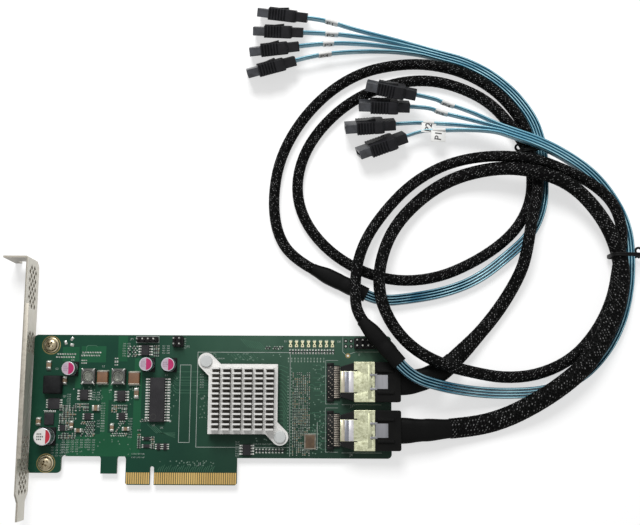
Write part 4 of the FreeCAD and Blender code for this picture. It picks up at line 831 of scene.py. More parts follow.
# Steps along the cables in millimetres, corners round a sleeve, and how far its strands stand out.
SLEEVE_STEP, BOOT_STEP, LEAD_STEP = 0.6, 0.8, 0.9
SLEEVE_AROUND, STRAND_SWELL = 36, 0.10
# A lead's waists between its wires, as a share of its thickness, and their pitch.
WAIST, WAIST_PITCH = 0.16, 2.3
LETTER_BOLD = 0.09


def route_line(route):
    """Points on the smooth line of a route: a NURBS spline with the route's points as control points."""
    curve = bpy.data.curves.new("route", "CURVE")
    curve.dimensions = "3D"
    curve.resolution_u = 20
    spline = curve.splines.new("NURBS")
    spline.points.add(len(route) - 1)
    for point, place in zip(spline.points, route):
        point.co = (*(value * MM for value in place), 1.0)
    spline.order_u = 3
    spline.use_endpoint_u = True
    holder = bpy.data.objects.new("route", curve)
    mesh = bpy.data.meshes.new_from_object(holder)
    line = [corner.co.copy() for corner in mesh.vertices]
    bpy.data.objects.remove(holder)
    bpy.data.curves.remove(curve)
    bpy.data.meshes.remove(mesh)
    return line


def spaced(line, step):
    """Points of a line read at even steps, and how far along each one is."""
    reach = [0.0]
    for here, after in zip(line, line[1:]):
        reach.append(reach[-1] + (after - here).length)
    count = max(2, round(reach[-1] / (step * MM)))
    points, along, index = [], [], 0
    for number in range(count + 1):
        distance = reach[-1] * number / count
        while index < len(line) - 2 and reach[index + 1] < distance:
            index += 1
        share = (distance - reach[index]) / (reach[index + 1] - reach[index])
        points.append(line[index].lerp(line[index + 1], share))
        along.append(distance)
    return points, along


def way_at(points, index):
    """The way from the point before to the point after, or as much of it as there is at an end."""
    return points[min(index + 1, len(points) - 1)] - points[max(index - 1, 0)]


def heading_frames(points):
    """At each point of a line: the way ahead, the level way to the left, and the way up."""
    frames = []
    for index in range(len(points)):
        ahead = way_at(points, index).normalized()
        left = UPRIGHT.cross(ahead).normalized()
        frames.append((ahead, left, ahead.cross(left)))
    return frames


def squared(share, power):
    """A share of a half width, from minus one to one, pushed outward by a power under one."""
    return math.copysign(abs(share) ** power, share)


def rounded_section(width, height, around, power=1.0):
    """A closed section as places to the left and up. A power under one squares it."""
    return [(squared(x, power) * width / 2, squared(z, power) * height / 2) for x, z in circle(around)]


def swept(points, along, section_at):
    """A section, which may change on the way, lofted along a line."""
    rings = []
    for point, distance, (_, left, upward) in zip(points, along, heading_frames(points)):
        rings.append([point + (left * x + upward * z) * MM for x, z in section_at(distance)])
    shape = Shape()
    shape.loft(rings, 0, True, along)
    return shape


def eased(value, low, high):
    share = min(1.0, max(0.0, (value - low) / (high - low)))
    return share * share * (3.0 - 2.0 * share)


def sized(sizes, reach):
    """The width and height at a reach along a piece, eased between the sizes that are set."""
    for (start, *first), (end, *second) in zip(sizes, sizes[1:]):
        if reach <= end:
            break
    share = eased(reach, start, end)
    return [low + (high - low) * share for low, high in zip(first, second)]


def sleeve(side):
    """A braided sleeve, flattened where it leaves its boot. The strands stand out of the tube."""
    points, along = spaced(route_line(SLEEVE_ROUTE[side]), SLEEVE_STEP)

    def section(distance):
        width, height = sized(SLEEVE_SIZES[side], distance / MM)
        ring = []
        for step, (x, z) in enumerate(rounded_section(width, height, SLEEVE_AROUND)):
            turn = BRAID_STRANDS * step / SLEEVE_AROUND
            crest = max(math.cos(math.tau * (turn + way * distance * BRAID_CROSSINGS)) for way in BOTH_WAYS)
            lift = crest * STRAND_SWELL
            ring.append((x * (1 + lift / width * 2), z * (1 + lift / height)))
        return ring

    made = piece("sleeve_" + side, swept(points, along, section), "braid",
                 ["braided_sleeve_" + side], 60.0)
    return made, points


def shrink_boot(name, route, sizes, node, creases):
    """Shrink tube that grips what it covers. The sizes are set at shares of its length."""
    points, along = spaced(route_line(route), BOOT_STEP)

    def section(distance):
        share = distance / along[-1]
        width, height = sized(sizes, share)
        creased = [math.exp(-((share - middle) * CREASE_TIGHTNESS) ** 2) for middle in creases]
        ripple = CREASE_DEPTH * sum(creased)
        return rounded_section(width - ripple, height - ripple, 28, 0.6)

    return piece(name, swept(points, along, section), "shrink", [node], 50.0)


def drive_back(side, index):
    """The middle of a drive plug's back face in millimetres, and the way that it faces."""
    x, y, heading, foot = DRIVES[side][index]
    lean, heading = math.radians(DRIVE_LEAN[side]), math.radians(heading)
    rise = DRIVE_HEIGHT / 2 * math.cos(lean) + DRIVE_THICK / 2 * math.sin(lean)
    return Vector((x, y, foot + rise)), Vector((math.cos(heading), math.sin(heading), 0.0))


def lead_route(side, index):
    """One lead's points: the bundle's, moved sideways to its place in it, then its own way to its plug."""
    offset = ((LEAD_COUNT - 1) / 2 - index) * LEAD_PITCH
    bundle = [Vector(point) for point in RIBBON_ROUTE[side]]
    route = []
    for number, here in enumerate(bundle):
        right = way_at(bundle, number).cross(UPRIGHT).normalized()
        route.append(here + right * offset)
    last_way = (bundle[-1] - bundle[-2]).normalized()
    back, behind = drive_back(side, index)
    route += [route[-1] + last_way * LEAD_RUN] + [Vector(point) for point in FAN_ROUTES[side][index]]
    return route + [back + behind * LEAD_RUN, back]


def lead_section():
    """A flat lead on edge, waisted between its wires."""
    ring = []
    for x, z in rounded_section(LEAD_THICK, LEAD_HEIGHT, 24, 0.7):
        ring.append((x * (1 - WAIST + WAIST * abs(math.cos(math.tau * z / WAIST_PITCH))), z))
    return ring


def drive_lead(side, index):
    """One flat lead with its label."""
    points, along = spaced(route_line(lead_route(side, index)), LEAD_STEP)
    ring = lead_section()
    made = piece(f"drive_lead_{side}_{index + 1}", swept(points, along, lambda distance: ring), "jacket",
                 ["drive_leads_" + side], 60.0)
    return made, points, lead_label(side, index, points, along)


def lead_label(side, index, points, along):
    """A paper label round a lead, with its port number where it can be read from above."""
    middle, words, flag = LABELS[side][index]
    picked = [number for number, distance in enumerate(along)
              if abs(along[-1] - distance - middle * MM) < LABEL_LONG / 2 * MM]
    ring = rounded_section(LEAD_THICK + 0.5, LEAD_HEIGHT + 0.4, 20, 0.6)
    shape = swept([points[number] for number in picked], [along[number] for number in picked],
                  lambda distance: ring)
    centre = picked[len(picked) // 2]
    ahead, left, _ = heading_frames(points)[centre]
    if flag:
        sheet = Matrix.Translation(points[centre] + UPRIGHT * 1.6 * MM)
        sheet = sheet @ Matrix.Rotation(math.atan2(-ahead.y, -ahead.x), 4, "Z") @ moved(0.0, -flag / 2)
        shape.block(sheet, (LABEL_LONG, flag, 0.25), 0.05)
        shape.letters(words, sheet @ moved(0.0, 0.0, 0.27) @ spun(84.0), 3.2, 1, LETTER_BOLD)
    else:
        place = points[centre] + left * (LEAD_THICK / 2 + 0.27) * MM
        ways = zip(-ahead, left.cross(-ahead), left)
        face = Matrix([(*row, shift) for row, shift in zip(ways, place)] + [(0, 0, 0, 1)])
        shape.letters(words, face, 3.0, 1, LETTER_BOLD)
    return piece(f"lead_label_{side}_{index + 1}", shape, "paper ink")


def drive_plug(side, index):
    """A drive plug whose nose is paler, a painted reflection on its glossy face."""
    made = softened(f"drive_plug_{side}_{index + 1}", 0.25, "drive nose")
    back, behind = drive_back(side, index)
    for face in made.data.polygons:
        if (back * MM - face.center).dot(behind) > DRIVE_NOSE * MM:
            face.material_index = 1
    return made


def drive_latch(side, index):
    """One drive plug's latch, out of the node that holds the four of a side."""
    middles = [sum(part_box(f"drive_plug_{side}_{number + 1}"), Vector()) / 2 for number in range(LEAD_COUNT)]

    def is_on_plug(middle):
        return min(range(LEAD_COUNT), key=lambda number: (middles[number] - middle).length) == index

    return softened("drive_latches_" + side, 0.08, "latch", f"drive_latch_{side}_{index + 1}",
                    is_on_plug)


def cables():
    for side in SIDES:
        plug = softened("port_plug_" + side, 0.3, "plug")
        tab = softened("plug_latch_" + side, 0.08, "tab")
        boot = shrink_boot("shrink_boot_" + side, BOOT_ROUTE[side], BOOT_SIZES,
                           "plug_boot_" + side, BOOT_CREASES)
        end_boot = shrink_boot("lead_boot_" + side, BREAKOUT_ROUTE[side], BREAKOUT_SIZES,
                               "breakout_boot_" + side, BREAKOUT_CREASES)
        made, points = sleeve(side)
        wire_tie(side)
        for index in range(LEAD_COUNT):
            made, points, label = drive_lead(side, index)
            drive_plug(side, index)
            drive_latch(side, index)


def wire(points):
    """A round wire along places in metres that may turn any way."""
    side = (points[1] - points[0]).orthogonal().normalized()
    rings = []
    for index, point in enumerate(points):
        ahead = way_at(points, index).normalized()
        side = (side - ahead * side.dot(ahead)).normalized()
        other = ahead.cross(side)
        rings.append([point + (side * x + other * y) * WIRE_RADIUS * MM for x, y in circle(10)])
    shape = Shape()
    shape.loft(rings)
    return shape


def wire_tie(side):
    """A covered wire, wound twice round the turns, with its ends twisted into a small ring."""
    x, y, heading, width, top = WIRE_TIES[side]
    loop_steps, loop_power, ring_steps, ring_radius = 50, 0.45, 20, 1.5
    low = WIRE_RADIUS + 0.1
    middle, half = (top + low) / 2, (top - low) / 2
    way = 1 if side == "lower" else -1
    points = []
    for step in range(2 * loop_steps + 1):
        angle = math.tau * step / loop_steps
        points.append((way * squared(math.cos(angle), loop_power) * width / 2, 0.016 * (step - loop_steps),
                       middle + squared(math.sin(angle), loop_power) * half))
    last = points[-1]
    for step in range(1, ring_steps + 5):
        angle = math.tau * step / ring_steps
        points.append((last[0] + way * ring_radius * math.sin(angle),
                       last[1] + ring_radius * (1 - math.cos(angle)), last[2] + 0.02 * step))
    foot = moved(x, y) @ spun(heading - 90.0)
    shape = wire([foot @ (Vector(point) * MM) for point in points])
    return piece("wire_tie_" + side, shape, "tie", ["cable_tie_" + side], 60.0)


cables()


# Board: copper, ink and solder on its faces. Places are across from the left edge and up from the contacts.

# Heights of the flat layers over the mask.
COPPER, TRACE, INK, PAD = 0.006, 0.01, 0.016, 0.02
BOARD_THICK = (board_high.z - board_low.z) / MM
PORT_UP = {"upper": 47.2, "lower": 25.2}


def above_board(z):
    """A height over the board's upper face, in millimetres."""
    return (z - board_high.z) / MM


def spread_of(box):
    """Middle, half sizes and top of a box, as places on the board in millimetres."""
    low, high = ((corner - Vector((board_low.x, board_low.y, board_high.z))) / MM for corner in box)
    return (low.x + high.x) / 2, (low.y + high.y) / 2, (high.x - low.x) / 2, (high.y - low.y) / 2, high.z


def patch(shape, outline, height):
    """A flat patch that faces up, on an outline that runs anticlockwise."""
    shape.flat([on_board(across, up, height) for across, up in outline])


def rectangle(left, low, right, high):
    return [(left, low), (right, low), (right, high), (left, high)]


def drawn(shape, places, width, height, closed=False):
    """A line of one width on the board."""
    shape.strip([on_board(across, up, height) for across, up in places], width, closed)


def copper():
    """Wide copper at the bracket's end and fine traces everywhere, both under the mask."""
    pours, traces = Shape(), Shape()

    def trace(width, *places):
        drawn(traces, places, width, TRACE)

    for outline in (
            [(17.0, 12.8), (47.5, 12.8), (47.5, 22.0), (36.0, 23.5), (36.0, 46.0), (32.5, 46.0), (32.5, 23.0),
             (17.0, 21.0)],
            rectangle(47.6, 13.5, 51.2, 58.0), rectangle(13.6, 56.4, 21.4, 63.2),
            rectangle(22.4, 56.0, 34.0, 63.6), rectangle(39.6, 56.5, 44.0, 68.4),
            rectangle(36.1, 38.5, 37.6, 52.5), rectangle(20.0, 44.0, 22.6, 53.5)):
        patch(pours, outline, COPPER)
    piece("copper_pours", pours, "pour")
    for step in range(17):
        start = 55.0 - step * 1.9
        drop = 1.2 + 0.42 * step
        trace(0.28, (114.9, start), (116.0 + 0.1 * step, start), (119.4, start - drop))
    for up in (51.8, 49.3, 47.9, 46.6, 45.6, 43.3, 42.0):
        trace(0.24, (66.0, up + 1.4), (67.4, up), (83.0, up))
    for step in range(4):
        trace(0.22, (54.4 + step * 0.9, 27.4), (58.6 + step * 0.9, 23.6), (67.4, 23.6 - step * 0.7))
    for step in range(9):
        trace(0.24, (97.0 + step * 1.1, 67.4 - step * 0.2), (100.5 + step * 1.1, 63.4 - step * 0.2))
        trace(0.24, (92.5 + step * 1.3, 60.2), (94.8 + step * 1.3, 57.4))
    for step in range(26):
        across = 60.0 + step * 1.0
        trace(0.22, (across, 6.0), (across, 6.9), (across + 1.0, 8.2 + 0.5 * (step % 3)))
    for port in PORT_UP.values():
        for step in range(9):
            up = port + 8.0 - step * 2.0
            turn = 0.9 if step % 2 else -0.9
            trace(0.24, (131.0 + step % 3, up), (134.4, up), (135.2, up + turn), (137.6, up + turn))
    for up in (26.4, 24.8, 46.2, 33.0, 44.8):
        trace(0.22, (127.2, up), (130.9, up), (132.0, up - 1.1), (134.0, up - 1.1))
    trace(0.3, (24.7, 60.0), (24.7, 63.2), (25.4, 63.9), (29.2, 63.9), (29.9, 63.2))
    piece("copper_traces", traces, "trace")


# Printed rows: letter, first place, columns, rows and the pitch of the rows.
PRINTED_ROWS = [
    ("C", 10.8, 18.0, 4, 5, 1.25), ("R", 15.8, 20.2, 2, 6, 1.1), ("C", 19.9, 20.2, 2, 6, 1.05),
    ("R", 24.2, 20.2, 2, 4, 1.1), ("C", 27.6, 20.2, 2, 5, 1.1), ("R", 31.6, 29.0, 2, 3, 1.3),
    ("C", 42.4, 64.8, 2, 6, 1.15), ("R", 61.0, 63.8, 2, 4, 1.1), ("C", 70.6, 67.2, 1, 5, 1.1),
    ("R", 29.0, 42.0, 2, 4, 1.1), ("C", 48.4, 14.0, 3, 2, 1.6), ("C", 46.4, 30.0, 1, 8, 1.2),
    ("R", 33.6, 37.0, 1, 12, 1.15), ("C", 17.4, 41.0, 1, 8, 1.0), ("R", 82.4, 58.0, 4, 1, 1.2),
    ("C", 104.4, 18.7, 5, 1, 1.2), ("R", 96.4, 19.6, 1, 7, 1.05), ("R", 79.2, 50.6, 1, 6, 1.2),
]
# Printed words and their places, by the height of their letters.
PRINTED_WORDS = {
    1.3: (("J3", 149.2, 36.3), ("J4", 148.9, 13.9), ("J1", 79.2, 9.6)),
    0.9: (("L1", 23.6, 60.0), ("L2", 33.0, 54.2), ("C2", 11.2, 52.9), ("C4", 18.4, 57.0), ("C5", 62.6, 50.2),
          ("U2", 57.2, 27.1), ("U5", 61.0, 25.9), ("U7", 79.6, 39.4), ("Y1", 136.0, 21.4),
          ("D1", 118.2, 66.2), ("D8", 143.2, 66.2), ("JP1", 46.0, 67.0), ("JP2", 72.4, 63.6),
          ("J5", 152.8, 60.2), ("Q1", 15.4, 40.2), ("Q2", 14.0, 31.6), ("U9", 97.2, 14.2)),
}


def ink():
    """White screen ink: outlines, and plain numbers by the parts."""
    shape = Shape()
    for outline in (rectangle(69.0, 19.3, 74.0, 55.0), rectangle(77.1, 17.2, 120.4, 61.0),
                    rectangle(48.0, 65.3, 58.6, 68.3)):
        drawn(shape, outline, 0.22, INK, True)
    drawn(shape, [(120.5, 59.1), (120.5, 13.2)], 0.2, INK)
    drawn(shape, [(133.2, 28.8), (133.2, 16.4), (126.6, 16.4)], 0.22, INK)
    drawn(shape, [(145.0, 68.2), (145.0, 61.4), (146.6, 59.9), (151.0, 61.4), (164.0, 61.4)], 0.16, INK)
    for port in PORT_UP.values():
        high, low = port + 10.2, port - 10.0
        drawn(shape, [(142.8, high), (137.0, high), (137.0, low), (142.8, low)], 0.16, INK)
        drawn(shape, [(144.5, port - 10.3), (163.0, port - 10.3)], 0.18, INK)
    for across, up, radius in ((64.9, 29.0, 0.5), (133.3, 17.3, 0.42), (19.5, 43.6, 0.3), (36.9, 43.2, 0.3)):
        shape.ring(at(across, up, INK), 0.0, radius)
    number = 1
    for prefix, across, up, columns, count, pitch in PRINTED_ROWS:
        for column in range(columns):
            for row in range(count):
                shape.letters(f"{prefix}{number}", at(across + column * 2.1, up - row * pitch, INK), 0.62)
                number += 1
    for height, words in PRINTED_WORDS.items():
        for word, across, up in words:
            shape.letters(word, at(across, up, INK), height)
    piece("screen_ink", shape, "silk", smooth_under=10.0)


PART_NODES = (
    "heat_sink", "bracket_screws", "capacitor_bases", "filter_choke", "inductor_frames", "ceramic_capacitors",
    "memory_chip", "small_chips", "power_packages", "chip_capacitors", "chip_resistors", "oscillator_case",
    "status_lamps", "wide_header", "small_headers", "port_housing_upper", "port_housing_lower",
    "port_cage_upper", "port_cage_lower", "port_terminals",
)
# Small parts: left, lower, right and upper edges of each field, the part's length and width, the turn,
# and the share of places that hold a part. The others are bare pads.
SMALL_FIELDS = [
    (121.4, 13.4, 130.6, 52.6, 1.0, 0.5, 90.0, 0.85), (107.4, 58.4, 117.0, 64.6, 1.5, 0.7, 55.0, 0.9),
    (85.8, 18.4, 95.4, 22.4, 1.5, 0.7, 55.0, 0.9), (13.4, 20.6, 21.8, 36.4, 1.4, 0.7, 0.0, 0.6),
    (23.6, 21.6, 31.0, 28.8, 1.4, 0.7, 60.0, 0.7), (20.4, 33.4, 30.0, 37.6, 1.5, 0.7, 90.0, 0.7),
    (37.6, 21.8, 46.0, 28.8, 1.4, 0.7, 60.0, 0.7), (37.4, 32.8, 45.6, 37.0, 1.5, 0.7, 90.0, 0.7),
    (46.2, 58.4, 48.8, 65.0, 1.5, 0.7, 50.0, 0.6), (56.2, 58.8, 59.6, 64.4, 1.5, 0.7, 90.0, 0.8),
    (77.6, 44.4, 81.8, 52.0, 1.5, 0.7, 90.0, 0.35), (77.8, 22.6, 81.6, 29.6, 1.5, 0.7, 60.0, 0.6),
    (50.0, 16.4, 52.4, 25.6, 1.4, 0.7, 0.0, 0.8), (56.4, 16.2, 58.6, 22.6, 1.4, 0.7, 0.0, 0.8),
    (51.0, 28.4, 54.8, 31.2, 1.4, 0.6, 50.0, 0.3), (22.4, 55.4, 25.4, 58.2, 1.5, 0.7, 90.0, 0.2),
    (38.0, 54.6, 40.8, 58.0, 1.5, 0.7, 90.0, 0.2), (10.6, 58.0, 20.2, 60.6, 1.8, 0.8, 70.0, 0.0),
    (22.4, 58.8, 32.0, 61.4, 1.8, 0.8, 70.0, 0.0), (44.2, 58.4, 46.2, 65.0, 1.5, 0.7, 50.0, 0.3),
]


def places_taken():
    """Room on the board that the bigger parts take up."""
    return [spread_of(box)[:4] for node in PART_NODES for box in solids_of(node)]


def part_ends(box, inset, long, wide):
    """Where blocks over the two ends of a part stand, and their size. The part lies along or across."""
    x, y, half_x, half_y, _ = spread_of(box)
    for way in BOTH_WAYS:
        shift = way * (max(half_x, half_y) - inset)
        yield (at(x, y + shift), (wide, long)) if half_y > half_x else (at(x + shift, y), (long, wide))


def small_part(parts, pads, across, up, size, degrees, body):
    """A small part with soldered ends, or its two bare pads where the body is nothing."""
    length, width = size
    foot = at(across, up, 0.0, degrees)
    for way in BOTH_WAYS:
        end = foot @ moved(way * length * 0.42, 0.0)
        pads.block(end, (length * 0.34, width, PAD), 0.0, 0 if body else 1)
        if body:
            parts.block(end, (length * 0.28, width, width * 0.86), 0.05)
    if body:
        parts.block(foot, (length * 0.62, width * 0.96, width * 0.8), 0.04, body)


def small_parts():
    """Fields of small parts between the bigger ones, and the solder that holds them."""
    draw = random.Random(7)
    taken = places_taken()
    parts, pads = Shape(), Shape()
    for left, low, right, high, length, width, degrees, share in SMALL_FIELDS:
        across_share, up_share = abs(math.cos(math.radians(degrees))), abs(math.sin(math.radians(degrees)))
        reach_x = (across_share * length + up_share * width) / 2 + 0.08
        reach_y = (up_share * length + across_share * width) / 2 + 0.08
        step_x = max(2 * reach_x * (0.75 if 20 < degrees < 80 else 1.0), 0.95)
        step_y = 2 * reach_y + 0.12
        rows = int((high - low) / step_y + 0.3)
        for row in range(max(1, rows)):
            for column in range(int((right - left) / step_x)):
                across, up = left + (column + 0.5) * step_x, low + (row + 0.5) * step_y
                body = draw.choice((1, 2, 3, 3, 3)) if draw.random() < share else 0
                if draw.random() < 0.12 and share:
                    continue
                if all(abs(across - x) > reach_x + half_x or abs(up - y) > reach_y + half_y
                       for x, y, half_x, half_y in taken):
                    small_part(parts, pads, across, up, (length, width), degrees, body)
    piece("small_parts", parts, "dull tan faint black")
    for across, up, degrees in ((14.8, 65.2, 20.0), (17.7, 67.0, 140.0), (17.8, 64.1, 260.0)):
        pads.block(at(across, up, 0.0, degrees), (1.3, 1.8, 2 * PAD), 0.02, 1)
    for column in range(12):
        for row in range(2):
            pads.block(at(119.6 + column * 1.5, 58.2 - row * 1.3), (0.5, 0.8, PAD))
    for node in ("ceramic_capacitors", "chip_capacitors", "chip_resistors", "status_lamps",
                 "oscillator_case"):
        for box in solids_of(node):
            for foot, size in part_ends(box, 0.0, 0.9, min(spread_of(box)[2:4]) * 2.1):
                pads.block(foot, (*size, PAD))
    piece("solder_pads", pads, "dull tin")


# Fields of plated holes: left, lower, right and upper edges, and how many holes.
HOLE_FIELDS = [
    (131.0, 14.0, 136.6, 55.0, 60), (77.8, 30.5, 82.0, 43.0, 14), (60.0, 8.6, 86.0, 11.0, 30),
    (21.0, 38.0, 34.0, 46.0, 26), (36.0, 36.0, 50.0, 46.0, 26), (83.0, 57.0, 116.0, 60.4, 30),
    (62.6, 30.0, 68.0, 50.0, 22), (104.0, 20.0, 119.0, 22.4, 12), (17.0, 13.4, 47.0, 21.0, 20),
]


def vias():
    """Plated holes, drawn as small rings of solder."""
    draw = random.Random(11)
    shape = Shape()
    for column, spread in ((119.6, 1.35), (121.0, 1.5)):
        for step in range(27):
            shape.ring(at(column + draw.uniform(-0.1, 0.1), 14.6 + step * spread, PAD), 0.1, 0.3, around=10)
    for left, low, right, high, count in HOLE_FIELDS:
        for _ in range(count):
            foot = at(draw.uniform(left, right), draw.uniform(low, high), PAD)
            shape.ring(foot, 0.1, draw.uniform(0.22, 0.32), around=10)
    piece("plated_holes", shape, "via")


def gull_lead(shape, foot, reach, width, height):
    """A lead that leaves a chip's side level, bends down and ends flat on its pad."""
    thick = 0.18
    x, z = width / 2, thick / 2
    path = [(-0.3, height), (0.25 * reach, height), (0.5 * reach, 0.12 + thick), (0.62 * reach, 0.11),
            (reach, 0.1)]
    section = ((x, -z), (x, z), (-x, z), (-x, -z))
    shape.loft([[foot @ (Vector((ahead, y, level + up)) * MM) for y, up in section] for ahead, level in path])
    shape.block(foot @ moved(reach * 0.8, 0.0), (reach * 0.75, width * 1.3, PAD))


# Chips with leads along both long sides: across, up, half width, leads, pitch, reach and height.
LEAD_ROWS = [(58.85, 38.8, 3.5, 16, 1.27, 1.9, 1.0)]
LEAD_ROWS += [(across, up, 1.9, 4, 1.27, 1.25, 0.7)
              for across, up in ((24.7, 40.9), (42.0, 40.5), (52.5, 61.7), (100.7, 16.1))]
LEAD_ROWS += [
    (54.4, 21.0, 1.45, 2, 0.95, 0.7, 0.5), (54.4, 17.6, 1.45, 2, 0.95, 0.7, 0.5),
    (60.0, 17.4, 0.75, 3, 0.95, 0.8, 0.5), (63.0, 17.4, 0.75, 3, 0.95, 0.8, 0.5),
    (26.7, 31.0, 1.55, 3, 1.0, 0.8, 0.4), (42.5, 31.1, 1.55, 3, 1.0, 0.8, 0.4),
    (10.7, 36.8, 2.7, 4, 1.1, 0.9, 0.5), (15.2, 25.7, 1.3, 3, 0.95, 0.7, 0.5),
]


def chip_leads():
    """Leads of the chips, and a row of short ones at a power package."""
    shape = Shape()
    for across, up, half, count, pitch, reach, height in LEAD_ROWS:
        for step in range(count):
            level = up + (step - (count - 1) / 2) * pitch
            for way, degrees in ((1, 0.0), (-1, 180.0)):
                gull_lead(shape, at(across + way * half, level, 0.0, degrees), reach, pitch * 0.42, height)
    for step in range(6):
        shape.block(at(6.6 + step * 0.95, 33.2), (0.5, 0.9, 0.3), 0.05)
    piece("chip_leads", shape, "lead")


def soldered_ends():
    """Plated ends over the ceramic parts, and the marks of the status lamps."""
    ends, marks = Shape(), Shape()
    margin = 0.06
    # The ceramic capacitors' ends take the duller terminal plate instead of bright solder: painted shade on
    # those ends.
    for node, share, finish in (("ceramic_capacitors", 0.1, 1), ("chip_capacitors", 0.24, 0),
                                ("chip_resistors", 0.2, 0)):
        for box in solids_of(node):
            *_, half_x, half_y, top = spread_of(box)
            cap = 2 * max(half_x, half_y) * share
            for foot, size in part_ends(box, cap / 2, cap + margin, min(half_x, half_y) * 2 + margin):
                ends.block(foot, (*size, top + 0.04), 0.06, finish)
    piece("plated_ends", ends, "tin terminal")
    for box in solids_of("status_lamps"):
        x, y, half_x, half_y, top = spread_of(box)
        for way in BOTH_WAYS:
            side = x + way * half_x * 0.98
            outline = [(side, y - 0.55), (side, y + 0.95), (x + way * 0.28, y + 0.2)]
            patch(marks, outline if way > 0 else outline[::-1], top + 0.01)
            marks.block(at(x, y + way * (half_y - 0.22)), (half_x * 2 + 0.08, 0.5, top * 0.8), 0.06, 1)
        marks.ring(at(x, y - half_y * 0.52, top + 0.012), 0.0, 0.3, 0, 12)
    piece("lamp_marks", marks, "dark tin")


def cut_out(shape, tool):
    """A shape's mesh with a second shape taken out of it."""
    holders = [in_scene(name, bare_mesh(name, part)) for name, part in (("whole", shape), ("tool", tool))]
    step = holders[0].modifiers.new("cut", "BOOLEAN")
    step.operation = "DIFFERENCE"
    step.object = holders[1]
    found = bpy.data.meshes.new_from_object(holders[0].evaluated_get(bpy.context.evaluated_depsgraph_get()))
    for made in holders:
        mesh = made.data
        bpy.data.objects.remove(made)
        bpy.data.meshes.remove(mesh)
    return found


def cross_recess(foot, top):
    """The cross that is taken out of a screw's head, narrower at its foot."""
    rings = []
    for depth, arm, thick in ((top * 0.35, 0.75, 0.28), (top + 0.3, 1.65, 0.42)):
        corners = [(arm, -thick), (arm, thick), (thick, thick)]
        for _ in range(3):
            corners += [(-y, x) for x, y in corners[-3:]]
        rings.append([foot @ (Vector((x, y, depth)) * MM) for x, y in corners])
    shape = Shape()
    shape.loft(rings)
    return shape


def screws():
    """Pan heads with a flange and a cross recess, each in a plated ring."""
    rings = Shape()
    for number, box in enumerate(solids_of("bracket_screws")):
        x, y, half, _, top = spread_of(box)
        foot, head = at(x, y), Shape()
        head.turned(foot, [(half - 0.25, 0.0), (half - 0.05, 0.15), (half, 0.45), (half - 0.1, top * 0.55),
                           (half - 0.45, top * 0.78), (half - 1.1, top * 0.93), (0.4, top)])
        mesh = dressed(cut_out(head, cross_recess(foot @ spun(28.0 + 30.0 * number), top)), "screw")
        set_down(f"screw_head_{number + 1}", mesh, ["bracket_screws"], 30.0)
        rings.turned(foot, [(3.6, 0.0), (3.55, 0.3), (3.4, 0.36), (half - 0.1, 0.38)], ends=False)
        rings.ring(at(x, y, PAD), 3.95, 4.35, 1, 48)
    piece("screw_rings", rings, "screw ring")


def disc_part(shape, foot, radius, low, high, finish):
    """A flat slice of a disc between two lines across it, given as shares of the radius."""
    shares = [low + (high - low) * step / 14 for step in range(15)]
    edge = [(share, math.sqrt(1 - share * share)) for share in shares]
    outline = [(x, -y) for x, y in edge] + edge[::-1]
    shape.flat([foot @ (Vector((x, y, 0.0)) * radius * MM) for x, y in outline], finish)


# Ink on a can's top: where its two colours meet, the colours, then the marks' first place, pitch, size
# and colour.
BIG_CAN_OVER = 3.6
BIG_CAN_INK = (0.42, (2, 3), (-2.2, 1.2), (0.8, 1.2), (0.5, 0.7, 0.01), 4)
SMALL_CAN_INK = (0.06, (0, 1), (-1.9, 0.9), (0.6, 0.9), (0.35, 0.5, 0.01), 5)
DISC_END = 0.999


def cans():
    """Capacitor cans with a groove above the base and ink on the top."""
    shape, tops = Shape(), Shape()
    for box in solids_of("capacitor_cans"):
        x, y, radius, _, top = spread_of(box)
        low, groove = above_board(box[0].z), radius - 0.22
        shape.turned(at(x, y), [(radius - 0.2, low), (radius, low + 0.2), (radius, low + 0.7),
                                (groove, low + 1.0), (groove, low + 1.15), (radius, low + 1.45),
                                (radius, top - 0.35), (radius - 0.1, top - 0.12), (radius - 0.3, top)])
        meet, colours, first, pitch, size, colour = BIG_CAN_INK if radius > BIG_CAN_OVER else SMALL_CAN_INK
        foot = at(x, y, top + 0.01)
        disc_part(tops, foot, radius - 0.4, -DISC_END, meet, colours[0])
        disc_part(tops, foot, radius - 0.4, meet, DISC_END, colours[1])
        for row, count in enumerate((3, 4, 3)):
            for step in range(count):
                place = at(x + first[0] + step * pitch[0], y + first[1] - row * pitch[1], top + 0.012)
                tops.block(place, size, 0.0, colour)
    piece("can_bodies", shape, "can", ["capacitor_cans"], 30.0)
    piece("can_tops", tops, "lilac magenta white red ink faded")


def drums():
    """Wound drums with a dished top in their square frames, and the frames' soldered corners."""
    shape, tabs = Shape(), Shape()
    for box in solids_of("inductor_cores"):
        x, y, half_x, half_y, top = spread_of(box)
        radius = min(half_x, half_y) + 0.3
        shape.turned(at(x, y), [(radius, above_board(box[0].z)), (radius, top - 0.1), (radius - 0.12, top),
                                (radius - 0.5, top), (radius - 0.75, top - 0.35), (radius - 1.2, top - 0.45),
                                (0.3, top - 0.4)])
    for box in solids_of("inductor_frames"):
        x, y, half_x, half_y, top = spread_of(box)
        for way_x in BOTH_WAYS:
            for way_y in BOTH_WAYS:
                corner = x + way_x * (half_x - 0.55), y + way_y * (half_y - 0.5)
                tabs.block(at(*corner, 0.0, 45.0 * way_x * way_y), (1.5, 0.6, top + 0.05), 0.08)
    piece("drum_cores", shape, "core", ["inductor_cores"], 30.0)
    piece("drum_tabs", tabs, "tin")


